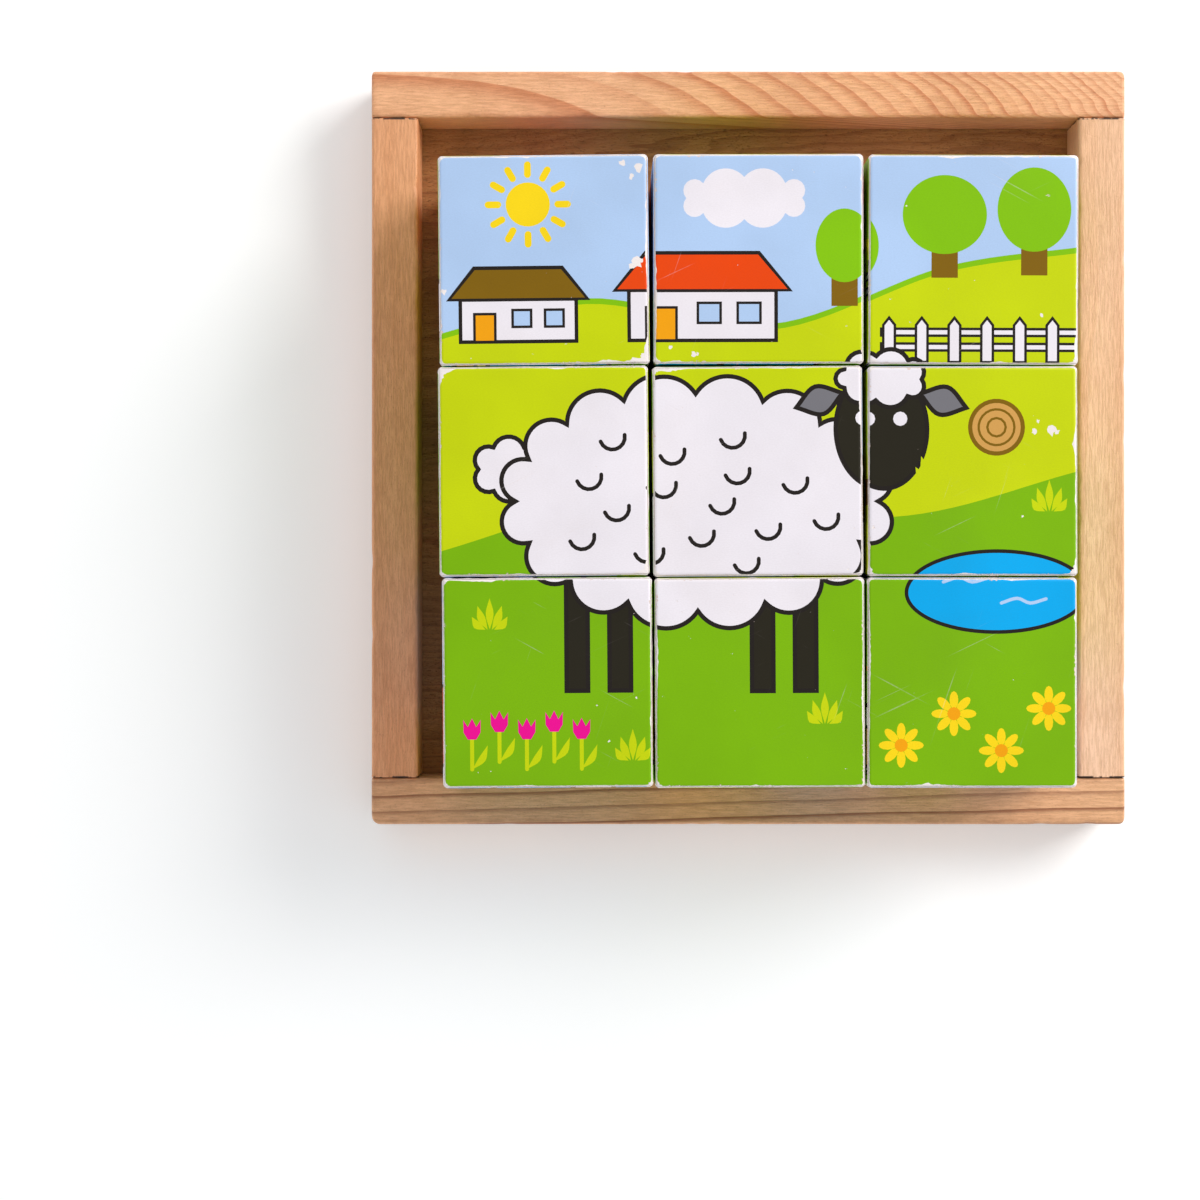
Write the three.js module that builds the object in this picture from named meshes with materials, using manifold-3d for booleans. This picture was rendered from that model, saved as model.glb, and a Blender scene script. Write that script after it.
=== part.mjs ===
// A picture cube puzzle: nine wooden cubes stand three by three in a shallow wooden tray, and a
// printed paper label is glued on every face of every cube, so that the cubes make up pictures.
//
// Millimetres, +Z up, +Y to the back. The origin is the middle of the tray's underside.

import * as THREE from "three";
import { RoundedBoxGeometry } from "three/addons/geometries/RoundedBoxGeometry.js";
import { mergeVertices } from "three/addons/utils/BufferGeometryUtils.js";
import Module from "manifold-3d";

const wasm = await Module();
wasm.setup();

// Tray: four rails glued and nailed into a square frame, with a thin panel under it.
const TRAY_SIDE = 152;
const BASE_THICKNESS = 3;
const RAIL_WIDTH = 9.4;
const RAIL_HEIGHT = 12;
const GLUE_LINE = 0.12; // between the rails, and between the rails and the base panel
const RAIL_TOP_RADIUS = 1;
const RAIL_FOOT_RADIUS = 0.3;
const BASE_CORNER_RADIUS = 1.5;
// The upright corners were sanded by hand, each a little differently.
const CORNER_RADIUS = { backLeft: 0.8, backRight: 1.1, frontRight: 1.3, frontLeft: 1.8 };

// Brads: plain round nails with small flat heads, sunk a little below the wood.
const BRAD_SHANK_RADIUS = 0.6;
const BRAD_HEAD_RADIUS = 1.2;
const BRAD_HEAD_THICKNESS = 0.6;
const BRAD_SUNK = 0.2;
const BRAD_CLEARANCE = 0.2; // round the brad, in the wood
const CORNER_BRAD_LENGTH = 18;
const CORNER_BRAD_LEVELS = { lower: 0.3, upper: 0.7 }; // shares of the rail's height
const BASE_BRAD_LENGTH = 10;
const BASE_BRAD_OFFSET = 34; // from the middle of each rail

// Cubes: a wooden core, a line of glue and a paper label on every face.
const CUBE_SIDE = 39.95;
const LABEL_THICKNESS = 0.2;
const LABEL_GLUE = 0.05;
const LABEL_MARGIN = 0.15; // bare edge between a top or bottom label and the cube's outline
const LABEL_CORNER_RADIUS = 1;
const SIDE_LABEL_MARGIN = 0.4; // the same above and below the side labels
const CORE_EDGE_RADIUS = 0.6;
const RESTING_GAP = 0.2; // under a cube
const COLUMN_GAP = 0.65;
const ROW_GAP = 0.2;
const FRONT_GAP = 0.25; // between the front row and the front rail
const MIDDLE_COLUMN_X = 0.1;

// How each cube happens to sit in its place: turned by so many degrees and pushed by so many mm.
const COLUMNS = ["left", "middle", "right"];
const ROWS = ["front", "centre", "back"];
const SITTING = {
  back_left: { turn: 0.6, right: -0.1, back: -0.05 },
  back_middle: { turn: 0.1, right: 0.1, back: 0.15 },
  back_right: { turn: -0.2, right: 0.3, back: 0 },
  centre_left: { turn: 0.5, right: -0.1, back: 0 },
  centre_middle: { turn: 0.4, right: -0.05, back: 0 },
  centre_right: { turn: 0.1, right: 0.15, back: 0 },
  front_left: { turn: 0.4, right: 0.65, back: 0 },
  front_middle: { turn: 0.3, right: 0.35, back: 0 },
  front_right: { turn: 0, right: 0.05, back: 0 },
};

const SEGMENTS = { corner: 3, edge: 2, brad: 12 };

const MATERIALS = {
  pine: new THREE.MeshStandardMaterial({ color: 0xe3b083, roughness: 0.6, metalness: 0 }),
  plywood: new THREE.MeshStandardMaterial({ color: 0xa8784c, roughness: 0.75, metalness: 0 }),
  core: new THREE.MeshStandardMaterial({ color: 0xd9b592, roughness: 0.7, metalness: 0 }),
  label: new THREE.MeshStandardMaterial({ color: 0x86c62a, roughness: 0.45, metalness: 0 }),
  steel: new THREE.MeshStandardMaterial({ color: 0x9b9da1, roughness: 0.35, metalness: 1 }),
};

const half = TRAY_SIDE / 2;
const railMiddle = half - RAIL_WIDTH / 2;
const railFoot = BASE_THICKNESS + GLUE_LINE;
const coreSide = CUBE_SIDE - 2 * (LABEL_THICKNESS + LABEL_GLUE);

// Solids ------------------------------------------------------------------------------------------

function solidOf(geometry) {
  const bare = geometry.clone();
  bare.deleteAttribute("normal");
  bare.deleteAttribute("uv");
  const merged = mergeVertices(bare, 1e-4);
  return new wasm.Manifold(
    new wasm.Mesh({
      numProp: 3,
      vertProperties: new Float32Array(merged.attributes.position.array),
      triVerts: new Uint32Array(merged.index.array),
    }),
  );
}

function geometryOf(solid) {
  const { vertProperties, triVerts } = solid.getMesh();
  const geometry = new THREE.BufferGeometry();
  geometry.setAttribute("position", new THREE.BufferAttribute(vertProperties, 3));
  geometry.setIndex(new THREE.BufferAttribute(triVerts, 1));
  const faceted = geometry.toNonIndexed();
  faceted.computeVertexNormals();
  return faceted;
}

function named(name, geometry, material) {
  const mesh = new THREE.Mesh(geometry, material);
  mesh.name = name;
  return mesh;
}

// A rectangle about the origin with rounded corners. radii go anticlockwise from the lower left.
function roundedRectangle(width, height, radii) {
  const [lowerLeft, lowerRight, upperRight, upperLeft] = radii;
  const x = width / 2;
  const y = height / 2;
  const shape = new THREE.Shape();
  shape.absarc(-x + lowerLeft, -y + lowerLeft, lowerLeft, Math.PI, 1.5 * Math.PI);
  shape.absarc(x - lowerRight, -y + lowerRight, lowerRight, -0.5 * Math.PI, 0);
  shape.absarc(x - upperRight, y - upperRight, upperRight, 0, 0.5 * Math.PI);
  shape.absarc(-x + upperLeft, y - upperLeft, upperLeft, 0.5 * Math.PI, Math.PI);
  return shape;
}

// A shape made into a plate or bar of this depth, with its middle at the origin.
function extruded(shape, depth) {
  const options = { depth, bevelEnabled: false, curveSegments: SEGMENTS.corner };
  return new THREE.ExtrudeGeometry(shape, options).translate(0, 0, -depth / 2);
}

// Tray --------------------------------------------------------------------------------------------

// A rail along X, seen from its end: rounded along the top, barely broken along the foot.
function railSection(length) {
  const radii = [RAIL_FOOT_RADIUS, RAIL_FOOT_RADIUS, RAIL_TOP_RADIUS, RAIL_TOP_RADIUS];
  const section = extruded(roundedRectangle(RAIL_WIDTH, RAIL_HEIGHT, radii), length);
  return section.rotateX(Math.PI / 2).rotateZ(Math.PI / 2);
}

// The back and front rails run the tray's full width, so their ends are rounded too. The corner
// radii go anticlockwise from the rail's lower left, seen from above.
function longRail(cornerRadii) {
  const bar = solidOf(railSection(TRAY_SIDE));
  const outline = extruded(roundedRectangle(TRAY_SIDE, RAIL_WIDTH, cornerRadii), RAIL_HEIGHT);
  const endRadii = [RAIL_FOOT_RADIUS, RAIL_FOOT_RADIUS, RAIL_TOP_RADIUS, RAIL_TOP_RADIUS];
  const elevation = extruded(roundedRectangle(TRAY_SIDE, RAIL_HEIGHT, endRadii), RAIL_WIDTH);
  return bar.intersect(solidOf(outline)).intersect(solidOf(elevation.rotateX(Math.PI / 2)));
}

// The side rails are butted between the long ones.
function shortRail() {
  const length = TRAY_SIDE - 2 * RAIL_WIDTH - 2 * GLUE_LINE;
  return solidOf(railSection(length).rotateZ(Math.PI / 2));
}

function railSolids() {
  const level = railFoot + RAIL_HEIGHT / 2;
  const square = RAIL_FOOT_RADIUS;
  const { backLeft, backRight, frontRight, frontLeft } = CORNER_RADIUS;
  return {
    back_rail: longRail([square, square, backRight, backLeft]).translate([0, railMiddle, level]),
    front_rail: longRail([frontLeft, frontRight, square, square]).translate([0, -railMiddle, level]),
    left_rail: shortRail().translate([-railMiddle, 0, level]),
    right_rail: shortRail().translate([railMiddle, 0, level]),
  };
}

function basePanelSolid() {
  const radii = Array(4).fill(BASE_CORNER_RADIUS);
  const outline = roundedRectangle(TRAY_SIDE, TRAY_SIDE, radii);
  return solidOf(extruded(outline, BASE_THICKNESS).translate(0, 0, BASE_THICKNESS / 2));
}

// A brad along +Z with its head at the origin. Its hole is bigger all round by the clearance, and
// opens through the wood that the head is sunk below.
function bradGeometry(length, clearance) {
  const shank = BRAD_SHANK_RADIUS + clearance;
  const head = BRAD_HEAD_RADIUS + clearance;
  const underHead = BRAD_HEAD_THICKNESS + clearance;
  const top = clearance > 0 ? -BRAD_SUNK - clearance : 0;
  const profile = [
    new THREE.Vector2(0, top),
    new THREE.Vector2(head, top),
    new THREE.Vector2(head, underHead),
    new THREE.Vector2(shank, underHead),
    new THREE.Vector2(shank, length + clearance - BRAD_SHANK_RADIUS),
    new THREE.Vector2(0, length + clearance),
  ];
  return new THREE.LatheGeometry(profile, SEGMENTS.brad).rotateX(Math.PI / 2);
}

// Every brad's name, length, the place of its head and how it is turned from +Z.
function bradPlaces() {
  const places = [];
  for (const [sideX, signX] of [["left", -1], ["right", 1]]) {
    for (const [sideY, signY] of [["front", -1], ["back", 1]]) {
      const quarterTurn = new THREE.Euler((signY * Math.PI) / 2, 0, 0);
      for (const [level, share] of Object.entries(CORNER_BRAD_LEVELS)) {
        places.push({
          name: `${sideY}_${sideX}_corner_brad_${level}`,
          length: CORNER_BRAD_LENGTH,
          turn: quarterTurn,
          at: new THREE.Vector3(
            signX * railMiddle,
            signY * (half - BRAD_SUNK),
            railFoot + share * RAIL_HEIGHT,
          ),
        });
      }
      const offsets = { end: [BASE_BRAD_OFFSET, railMiddle], side: [railMiddle, BASE_BRAD_OFFSET] };
      for (const [rail, [x, y]] of Object.entries(offsets)) {
        places.push({
          name: `${sideY}_${sideX}_base_brad_${rail}`,
          length: BASE_BRAD_LENGTH,
          turn: new THREE.Euler(0, 0, 0),
          at: new THREE.Vector3(signX * x, signY * y, BRAD_SUNK),
        });
      }
    }
  }
  return places;
}

function withBradHoles(solid, places) {
  let drilled = solid;
  for (const { length, turn, at } of places) {
    const place = new THREE.Matrix4().makeRotationFromEuler(turn).setPosition(at);
    const hole = bradGeometry(length, BRAD_CLEARANCE).applyMatrix4(place);
    drilled = drilled.subtract(solidOf(hole));
  }
  return drilled;
}

function brad({ name, length, turn, at }) {
  const mesh = named(name, bradGeometry(length, 0), MATERIALS.steel);
  mesh.rotation.copy(turn);
  mesh.position.copy(at);
  return mesh;
}

function tray() {
  const group = new THREE.Group();
  const places = bradPlaces();
  for (const [name, solid] of Object.entries(railSolids())) {
    group.add(named(name, geometryOf(withBradHoles(solid, places)), MATERIALS.pine));
  }
  const panel = withBradHoles(basePanelSolid(), places);
  group.add(named("base_panel", geometryOf(panel), MATERIALS.plywood));
  group.add(...places.map(brad));
  return group;
}

// Cubes -------------------------------------------------------------------------------------------

// The label on a cube's top or bottom.
function faceLabelGeometry() {
  const side = CUBE_SIDE - 2 * LABEL_MARGIN;
  const radii = Array(4).fill(LABEL_CORNER_RADIUS);
  return extruded(roundedRectangle(side, side, radii), LABEL_THICKNESS);
}

// The four side labels, which meet at the upright edges and go round the cube as one band.
function sideLabelsGeometry() {
  const innerRadius = CORE_EDGE_RADIUS + LABEL_GLUE;
  const innerSide = coreSide + 2 * LABEL_GLUE;
  const outerRadii = Array(4).fill(innerRadius + LABEL_THICKNESS);
  const band = roundedRectangle(CUBE_SIDE, CUBE_SIDE, outerRadii);
  band.holes.push(roundedRectangle(innerSide, innerSide, Array(4).fill(innerRadius)));
  return extruded(band, CUBE_SIDE - 2 * SIDE_LABEL_MARGIN);
}

function cube(row, column) {
  const place = `${row}_${column}`;
  const { turn, right, back } = SITTING[place];
  const group = new THREE.Group();
  const labelLevel = (CUBE_SIDE - LABEL_THICKNESS) / 2;

  const coreGeometry = new RoundedBoxGeometry(
    coreSide, coreSide, coreSide, SEGMENTS.edge, CORE_EDGE_RADIUS,
  );
  const core = named(`${place}_cube_core`, coreGeometry, MATERIALS.core);
  const top = named(`${place}_cube_top_label`, faceLabelGeometry(), MATERIALS.label);
  const bottom = named(`${place}_cube_bottom_label`, faceLabelGeometry(), MATERIALS.label);
  const sides = named(`${place}_cube_side_labels`, sideLabelsGeometry(), MATERIALS.label);
  top.position.z = labelLevel;
  bottom.position.z = -labelLevel;
  group.add(core, top, bottom, sides);

  const frontRowY = -half + RAIL_WIDTH + FRONT_GAP + CUBE_SIDE / 2;
  group.position.set(
    MIDDLE_COLUMN_X + (COLUMNS.indexOf(column) - 1) * (CUBE_SIDE + COLUMN_GAP) + right,
    frontRowY + ROWS.indexOf(row) * (CUBE_SIDE + ROW_GAP) + back,
    BASE_THICKNESS + RESTING_GAP + CUBE_SIDE / 2,
  );
  group.rotation.z = THREE.MathUtils.degToRad(turn);
  return group;
}

const puzzle = new THREE.Group();
puzzle.add(tray());
for (const row of ROWS) {
  for (const column of COLUMNS) {
    puzzle.add(cube(row, column));
  }
}

export default puzzle;
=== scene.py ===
"""A picture cube puzzle: nine labelled wooden cubes in a shallow wooden tray.

Metres, +Z up, +Y to the back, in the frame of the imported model. Sizes inside the drawings of the
labels are in millimetres.
"""

import math
import random

import bmesh
import bpy
import numpy as np
from bpy.props import FloatProperty, FloatVectorProperty, IntProperty, PointerProperty
from mathutils import Matrix, Vector, noise
from mathutils.geometry import delaunay_2d_cdt


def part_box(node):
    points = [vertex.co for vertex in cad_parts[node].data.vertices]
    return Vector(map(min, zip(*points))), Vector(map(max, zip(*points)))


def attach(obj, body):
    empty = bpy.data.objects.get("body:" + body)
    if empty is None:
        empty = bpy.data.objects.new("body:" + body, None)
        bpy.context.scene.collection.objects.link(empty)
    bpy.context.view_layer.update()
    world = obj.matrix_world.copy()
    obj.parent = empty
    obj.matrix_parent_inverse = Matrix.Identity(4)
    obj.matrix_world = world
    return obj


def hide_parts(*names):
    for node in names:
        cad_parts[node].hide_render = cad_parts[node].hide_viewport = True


bl_info = {
    "name": "Picture Cube Puzzle",
    "version": (1, 0, 0),
    "blender": (4, 5, 0),
    "location": "3D View > Sidebar > Puzzle",
    "description": "Builds the visible pieces of a nine cube picture puzzle in its tray",
    "category": "Object",
}

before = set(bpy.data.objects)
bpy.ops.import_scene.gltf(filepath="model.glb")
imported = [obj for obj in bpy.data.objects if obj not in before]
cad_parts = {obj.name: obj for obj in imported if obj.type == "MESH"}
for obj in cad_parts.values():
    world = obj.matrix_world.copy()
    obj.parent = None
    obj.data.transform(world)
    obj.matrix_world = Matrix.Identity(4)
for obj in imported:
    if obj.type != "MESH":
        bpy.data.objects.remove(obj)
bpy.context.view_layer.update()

MM = 0.001
ROWS = ("front", "centre", "back")
COLUMNS = ("left", "middle", "right")
CUBES = [f"{row}_{column}_cube" for row in ROWS for column in COLUMNS]
RAILS = ("back_rail", "front_rail", "left_rail", "right_rail")
TRAY_BODY = "tray"


# Settings ----------------------------------------------------------------------------------------


def linear(red, green, blue):
    """Linear light values of a colour given in steps of 0 to 255."""

    def straight(step):
        share = step / 255
        return share / 12.92 if share <= 0.04045 else ((share + 0.055) / 1.055) ** 2.4

    return (straight(red), straight(green), straight(blue))


def colour(name, description, red, green, blue):
    return FloatVectorProperty(
        name=name,
        description=description,
        subtype="COLOR",
        size=3,
        min=0,
        max=1,
        default=linear(red, green, blue),
    )


def distance(name, description, millimetres):
    return FloatProperty(
        name=name,
        description=description,
        default=millimetres * MM,
        min=0,
        precision=5,
        unit="LENGTH",
    )


def place_along(name, description, millimetres):
    return FloatProperty(
        name=name, description=description, default=millimetres * MM, precision=4, unit="LENGTH"
    )


def angle(name, description, degrees):
    return FloatProperty(
        name=name, description=description, default=math.radians(degrees), unit="ROTATION"
    )


def amount(name, description, default, most=10):
    return FloatProperty(name=name, description=description, default=default, min=0, max=most)


class TraySettings(bpy.types.PropertyGroup):
    top_radius: distance("Top radius", "Rounding along a rail's two top edges", 0.7)
    foot_radius: distance("Foot radius", "Rounding along a rail's foot and its joints", 0.3)
    corner_back_left: distance("Back left corner", "Rounding of the upright corner", 0.8)
    corner_back_right: distance("Back right corner", "Rounding of the upright corner", 1.1)
    corner_front_right: distance("Front right corner", "Rounding of the upright corner", 1.3)
    corner_front_left: distance("Front left corner", "Rounding of the upright corner", 1.8)
    station: distance("Station", "Length of rail between two cross sections", 0.9)
    dents: IntProperty(name="Dents", description="Dents along each rail", default=9, min=0)
    dent_depth: distance("Dent depth", "Depth of the deepest dent", 0.28)
    hand_work: distance("Hand work", "How far sanding by hand strays from flat", 0.07)
    brad_fit: distance("Brad fit", "Play round a brad in its hole", 0.06)
    back_early: colour("Back rail", "Wood between the growth lines", 252, 190, 144)
    back_late: colour("Back growth lines", "Wood of the growth lines", 214, 132, 84)
    front_early: colour("Front rail", "Wood between the growth lines", 240, 182, 134)
    front_late: colour("Front growth lines", "Wood of the growth lines", 160, 98, 56)
    left_early: colour("Left rail", "Wood between the growth lines", 240, 172, 124)
    left_late: colour("Left growth lines", "Wood of the growth lines", 222, 150, 100)
    right_early: colour("Right rail", "Wood between the growth lines", 250, 201, 163)
    right_late: colour("Right growth lines", "Wood of the growth lines", 240, 182, 138)
    panel_early: colour("Base panel", "Wood between the growth lines", 194, 136, 82)
    panel_late: colour("Base growth lines", "Wood of the growth lines", 160, 102, 56)


class CubeSettings(bpy.types.PropertyGroup):
    core_half: distance("Core half side", "From a core's centre to its face", 19.725)
    edge_radius: distance("Edge radius", "Rounding of a core's edges", 0.6)
    sheet_thickness: distance("Sheet thickness", "Thickness of a printed label", 0.2)
    sheet_half: distance("Sheet half side", "From a label's centre to its trimmed edge", 19.7)
    print_half: distance("Print half side", "From a label's centre to the edge of the ink", 19.62)
    core_early: colour("Core wood", "Wood between the growth lines", 232, 190, 160)
    core_late: colour("Core growth lines", "Wood of the growth lines", 205, 150, 115)
    paper: colour("Paper", "Bare paper at a label's edges", 244, 234, 232)
    bond: colour("Paper core", "Paper below the printed skin", 226, 200, 190)


class InkSettings(bpy.types.PropertyGroup):
    sky: colour("Sky", "Open sky", 178, 204, 240)
    wool: colour("Wool", "Wool, clouds and house walls", 240, 233, 240)
    leaf: colour("Leaf", "Near meadow", 124, 181, 1)
    bush: colour("Bush", "Trees and dark strips of grass", 132, 194, 3)
    lime: colour("Lime", "Far meadow and grass blades", 200, 214, 2)
    red: colour("Red", "Tiled roofs", 236, 71, 2)
    blue: colour("Blue", "Water", 1, 169, 236)
    pink: colour("Pink", "Pigs", 242, 212, 228)
    rose: colour("Rose", "Snouts and combs", 226, 140, 160)
    orange: colour("Orange", "Beaks and doors", 245, 163, 7)
    brown: colour("Brown", "Barn roofs and trunks", 130, 96, 6)
    reed: colour("Reed", "Reed heads", 114, 84, 11)
    slate: colour("Slate", "Dark faces, legs and tyres", 38, 34, 22)
    yellow: colour("Yellow", "Sun and petals", 250, 215, 20)
    magenta: colour("Magenta", "Tulips", 238, 6, 146)
    black: colour("Black", "Outlines", 34, 28, 25)
    grey: colour("Grey", "Tyres, stones and beaks", 120, 118, 124)
    tan: colour("Tan", "Straw and soil", 214, 160, 84)


class StudioSettings(bpy.types.PropertyGroup):
    eye_x: place_along("Eye along X", "The camera's place to the right of the middle", -29.9)
    eye_y: place_along("Eye along Y", "The camera's place behind the middle", -30.7)
    eye_height: distance("Eye height", "The camera's height over the floor", 490)
    lens: FloatProperty(name="Lens", description="Focal length", default=70.65, unit="CAMERA")
    key_heading: angle("Key heading", "Where the key light stands, from +X towards +Y", 33)
    key_rise: angle("Key rise", "How high the key light stands", 34)
    key_distance: distance("Key distance", "From the tray to the key light", 1300)
    key_side: distance("Key side", "Side of the square key light", 650)
    key_power: amount("Key power", "Watts of the key light", 13, 1000)
    fill_colour: colour("Fill colour", "Colour of the light from all round", 250, 253, 255)
    fill_low: amount("Low fill", "Light from all round at floor level", 1.35)
    fill_high: amount("High fill", "Light from straight above", 0.35)
    floor_glow: amount("Floor glow", "How much the pale floor is lifted", 0.18)


SETTINGS = {
    "puzzle_tray": TraySettings,
    "puzzle_cubes": CubeSettings,
    "puzzle_inks": InkSettings,
    "puzzle_studio": StudioSettings,
}


# Node trees --------------------------------------------------------------------------------------


def feed(tree, socket, value):
    """Links a socket, or sets a plain value on it."""
    if isinstance(value, bpy.types.NodeSocket):
        tree.links.new(value, socket)
    else:
        socket.default_value = value


def add(tree, kind, inputs=None, **settings):
    """A node with its settings, and its inputs linked or set by name or number."""
    made = tree.nodes.new(kind)
    for name, value in settings.items():
        setattr(made, name, value)
    for key, value in (inputs or {}).items():
        feed(tree, made.inputs[key], value)
    return made


def calc(tree, operation, *values):
    return add(tree, "ShaderNodeMath", dict(enumerate(values)), operation=operation).outputs[0]


def vcalc(tree, operation, *values):
    keys = (0, "Scale") if operation == "SCALE" else range(len(values))
    made = add(tree, "ShaderNodeVectorMath", dict(zip(keys, values)), operation=operation)
    return made.outputs["Value" if operation == "LENGTH" else "Vector"]


def part_of(tree, vector, axis):
    return add(tree, "ShaderNodeSeparateXYZ", {0: vector}).outputs[axis]


def tint(tree, factor, first, second, blend="MIX"):
    """Two colours mixed by a factor."""
    mix = add(tree, "ShaderNodeMix", data_type="RGBA", blend_type=blend)
    feed(tree, mix.inputs[0], factor)
    for index, value in ((6, first), (7, second)):
        if not isinstance(value, bpy.types.NodeSocket):
            value = (*value[:3], 1)
        feed(tree, mix.inputs[index], value)
    return mix.outputs[2]


def dimmed(tone, *shares):
    """A colour with each channel cut to its own share, or all of them to one."""
    return [channel * shares[number % len(shares)] for number, channel in enumerate(tone)]


def ease(tree, value, start, end, low=0.0, high=1.0):
    """Goes smoothly from low to high while value goes from start to end."""
    inputs = {"Value": value, 1: start, 2: end, 3: low, 4: high}
    return add(tree, "ShaderNodeMapRange", inputs, interpolation_type="SMOOTHSTEP").outputs[0]


def speckle(tree, vector, scale, detail=2.0, roughness=0.5):
    inputs = {"Vector": vector, "Scale": scale, "Detail": detail, "Roughness": roughness}
    return add(tree, "ShaderNodeTexNoise", inputs).outputs["Fac"]


def stretched(tree, vector, x, y, z):
    return vcalc(tree, "MULTIPLY", vector, (x, y, z))


def effect_group(name, inputs, outputs):
    """A shader node group with its sockets made: the tree, its inputs and its outputs."""
    group = bpy.data.node_groups.new(name, "ShaderNodeTree")
    for label, default in inputs.items():
        kind = "NodeSocketVector" if isinstance(default, tuple) else "NodeSocketFloat"
        group.interface.new_socket(label, in_out="INPUT", socket_type=kind).default_value = default
    for label in outputs:
        group.interface.new_socket(label, in_out="OUTPUT", socket_type="NodeSocketFloat")
    return group, group.nodes.new("NodeGroupInput").outputs, group.nodes.new("NodeGroupOutput")


def give_out(group, result, values):
    for label, value in values.items():
        group.links.new(value, result.inputs[label])
    return group


def growth_rings():
    """Growth lines, fibres and pores of sawn wood whose grain runs along X."""
    group, given, result = effect_group(
        "growth_rings",
        {
            "Position": (0.0, 0.0, 0.0),
            "Pith": (0.0, -12.0, -20.0),
            "Slope": (0.0, 0.0, 0.0),
            "Spacing": 3.0,
            "Reference": 20.0,
            "Crowding": 1.0,
            "Wander": 0.8,
            "Rise": 0.35,
            "Seed": 0.0,
        },
        ("Growth Line", "Fibre", "Figure", "Pores"),
    )
    place = vcalc(group, "SCALE", given["Position"], 1 / MM)
    shift = {"X": calc(group, "MULTIPLY", given["Seed"], 37.0)}
    shifted = vcalc(group, "ADD", place, add(group, "ShaderNodeCombineXYZ", shift).outputs[0])
    along = part_of(group, place, "X")
    from_pith = vcalc(group, "SUBTRACT", place, given["Pith"])
    from_pith = vcalc(group, "SUBTRACT", from_pith, vcalc(group, "SCALE", given["Slope"], along))
    radius = vcalc(group, "LENGTH", stretched(group, from_pith, 0, 1, 1))
    slow = speckle(group, stretched(group, shifted, 0.012, 0.06, 0.06), 1.0, 2.0)
    quick = speckle(group, stretched(group, shifted, 0.05, 0.35, 0.35), 1.0, 2.0)
    stray = calc(group, "SUBTRACT", calc(group, "MULTIPLY_ADD", quick, 0.25, slow), 0.62)
    stray = calc(group, "MULTIPLY", stray, calc(group, "MULTIPLY", given["Wander"], 4.0))
    radius = calc(group, "MAXIMUM", calc(group, "ADD", radius, stray), 0.01)
    share = calc(group, "DIVIDE", radius, given["Reference"])
    share = calc(group, "POWER", share, given["Crowding"])
    rate = calc(group, "MULTIPLY", given["Spacing"], given["Crowding"])
    years = calc(group, "MULTIPLY", share, calc(group, "DIVIDE", given["Reference"], rate))
    phase = calc(group, "FRACT", years)
    year = calc(group, "ADD", calc(group, "FLOOR", years), given["Seed"])
    lot = add(group, "ShaderNodeTexWhiteNoise", {"W": year}, noise_dimensions="1D")
    lot = lot.outputs["Value"]
    rise = ease(group, phase, given["Rise"], 0.93)
    fall = ease(group, phase, 0.95, 1.0, 1.0, 0.0)
    line = calc(group, "MULTIPLY", calc(group, "POWER", rise, 1.5), fall)
    line = calc(group, "MULTIPLY", line, calc(group, "MULTIPLY_ADD", lot, 0.6, 0.4))
    fibre = speckle(group, stretched(group, shifted, 0.28, 2.6, 2.6), 1.0, 5.0, 0.72)
    figure = speckle(group, stretched(group, shifted, 0.02, 0.09, 0.09), 1.0, 3.0)
    pores = speckle(group, stretched(group, shifted, 1.7, 5.5, 5.5), 1.0, 2.0, 0.7)
    return give_out(group, result, {
        "Growth Line": line,
        "Fibre": ease(group, fibre, 0.3, 0.7),
        "Figure": ease(group, figure, 0.3, 0.7),
        "Pores": ease(group, pores, 0.56, 0.74),
    })


def handling_marks():
    """Grime in patches, rubbed edges and fine scratches, from use."""
    group, given, result = effect_group(
        "handling_marks",
        {"Position": (0.0, 0.0, 0.0), "Edge": 0.0, "Patch": 60.0, "Seed": 0.0},
        ("Rubbed", "Grime", "Scratches"),
    )
    shift = add(group, "ShaderNodeCombineXYZ", {"Y": given["Seed"]}).outputs[0]
    moved = vcalc(group, "ADD", given["Position"], shift)
    broad = speckle(group, moved, given["Patch"], 4.0, 0.6)
    fine = speckle(group, moved, 900.0, 3.0, 0.6)
    rubbed = calc(group, "MULTIPLY", given["Edge"], ease(group, broad, 0.35, 0.65, 0.25, 1.0))
    rubbed = calc(group, "MULTIPLY", rubbed, ease(group, fine, 0.35, 0.6, 0.5, 1.0))
    scratches = []
    for turn, middle in ((0.5, 0.1), (1.9, 0.4), (2.7, 0.8)):
        inputs = {"Vector": moved, "Center": (middle, 0, 0), "Angle": turn}
        turned = add(group, "ShaderNodeVectorRotate", inputs, rotation_type="Z_AXIS").outputs[0]
        marks = speckle(group, stretched(group, turned, 45, 2600, 45), 1.0, 1.0, 0.4)
        scratches.append(ease(group, marks, 0.72, 0.8))
    scratch = calc(group, "MAXIMUM", scratches[0], calc(group, "MAXIMUM", *scratches[1:]))
    scratch = calc(group, "MULTIPLY", scratch, ease(group, broad, 0.5, 0.62))
    grime = ease(group, broad, 0.42, 0.72)
    return give_out(group, result, {"Rubbed": rubbed, "Grime": grime, "Scratches": scratch})


# Materials ---------------------------------------------------------------------------------------

FIBRE_CONTRAST = 0.16  # how much darker than its middle tone a fibre of sanded wood gets
DRIED_GLUE = linear(52, 28, 14)
PAPER_FIBRE = (0.6, 0.58, 0.56)
HAND_GRIME = (0.7, 0.62, 0.52)


def empty_material(name):
    material = bpy.data.materials.new(name)
    material.use_nodes = True
    tree = material.node_tree
    tree.nodes.clear()
    shader = tree.nodes.new("ShaderNodeBsdfPrincipled")
    output = tree.nodes.new("ShaderNodeOutputMaterial")
    tree.links.new(shader.outputs[0], output.inputs["Surface"])
    return material, tree, shader


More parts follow.
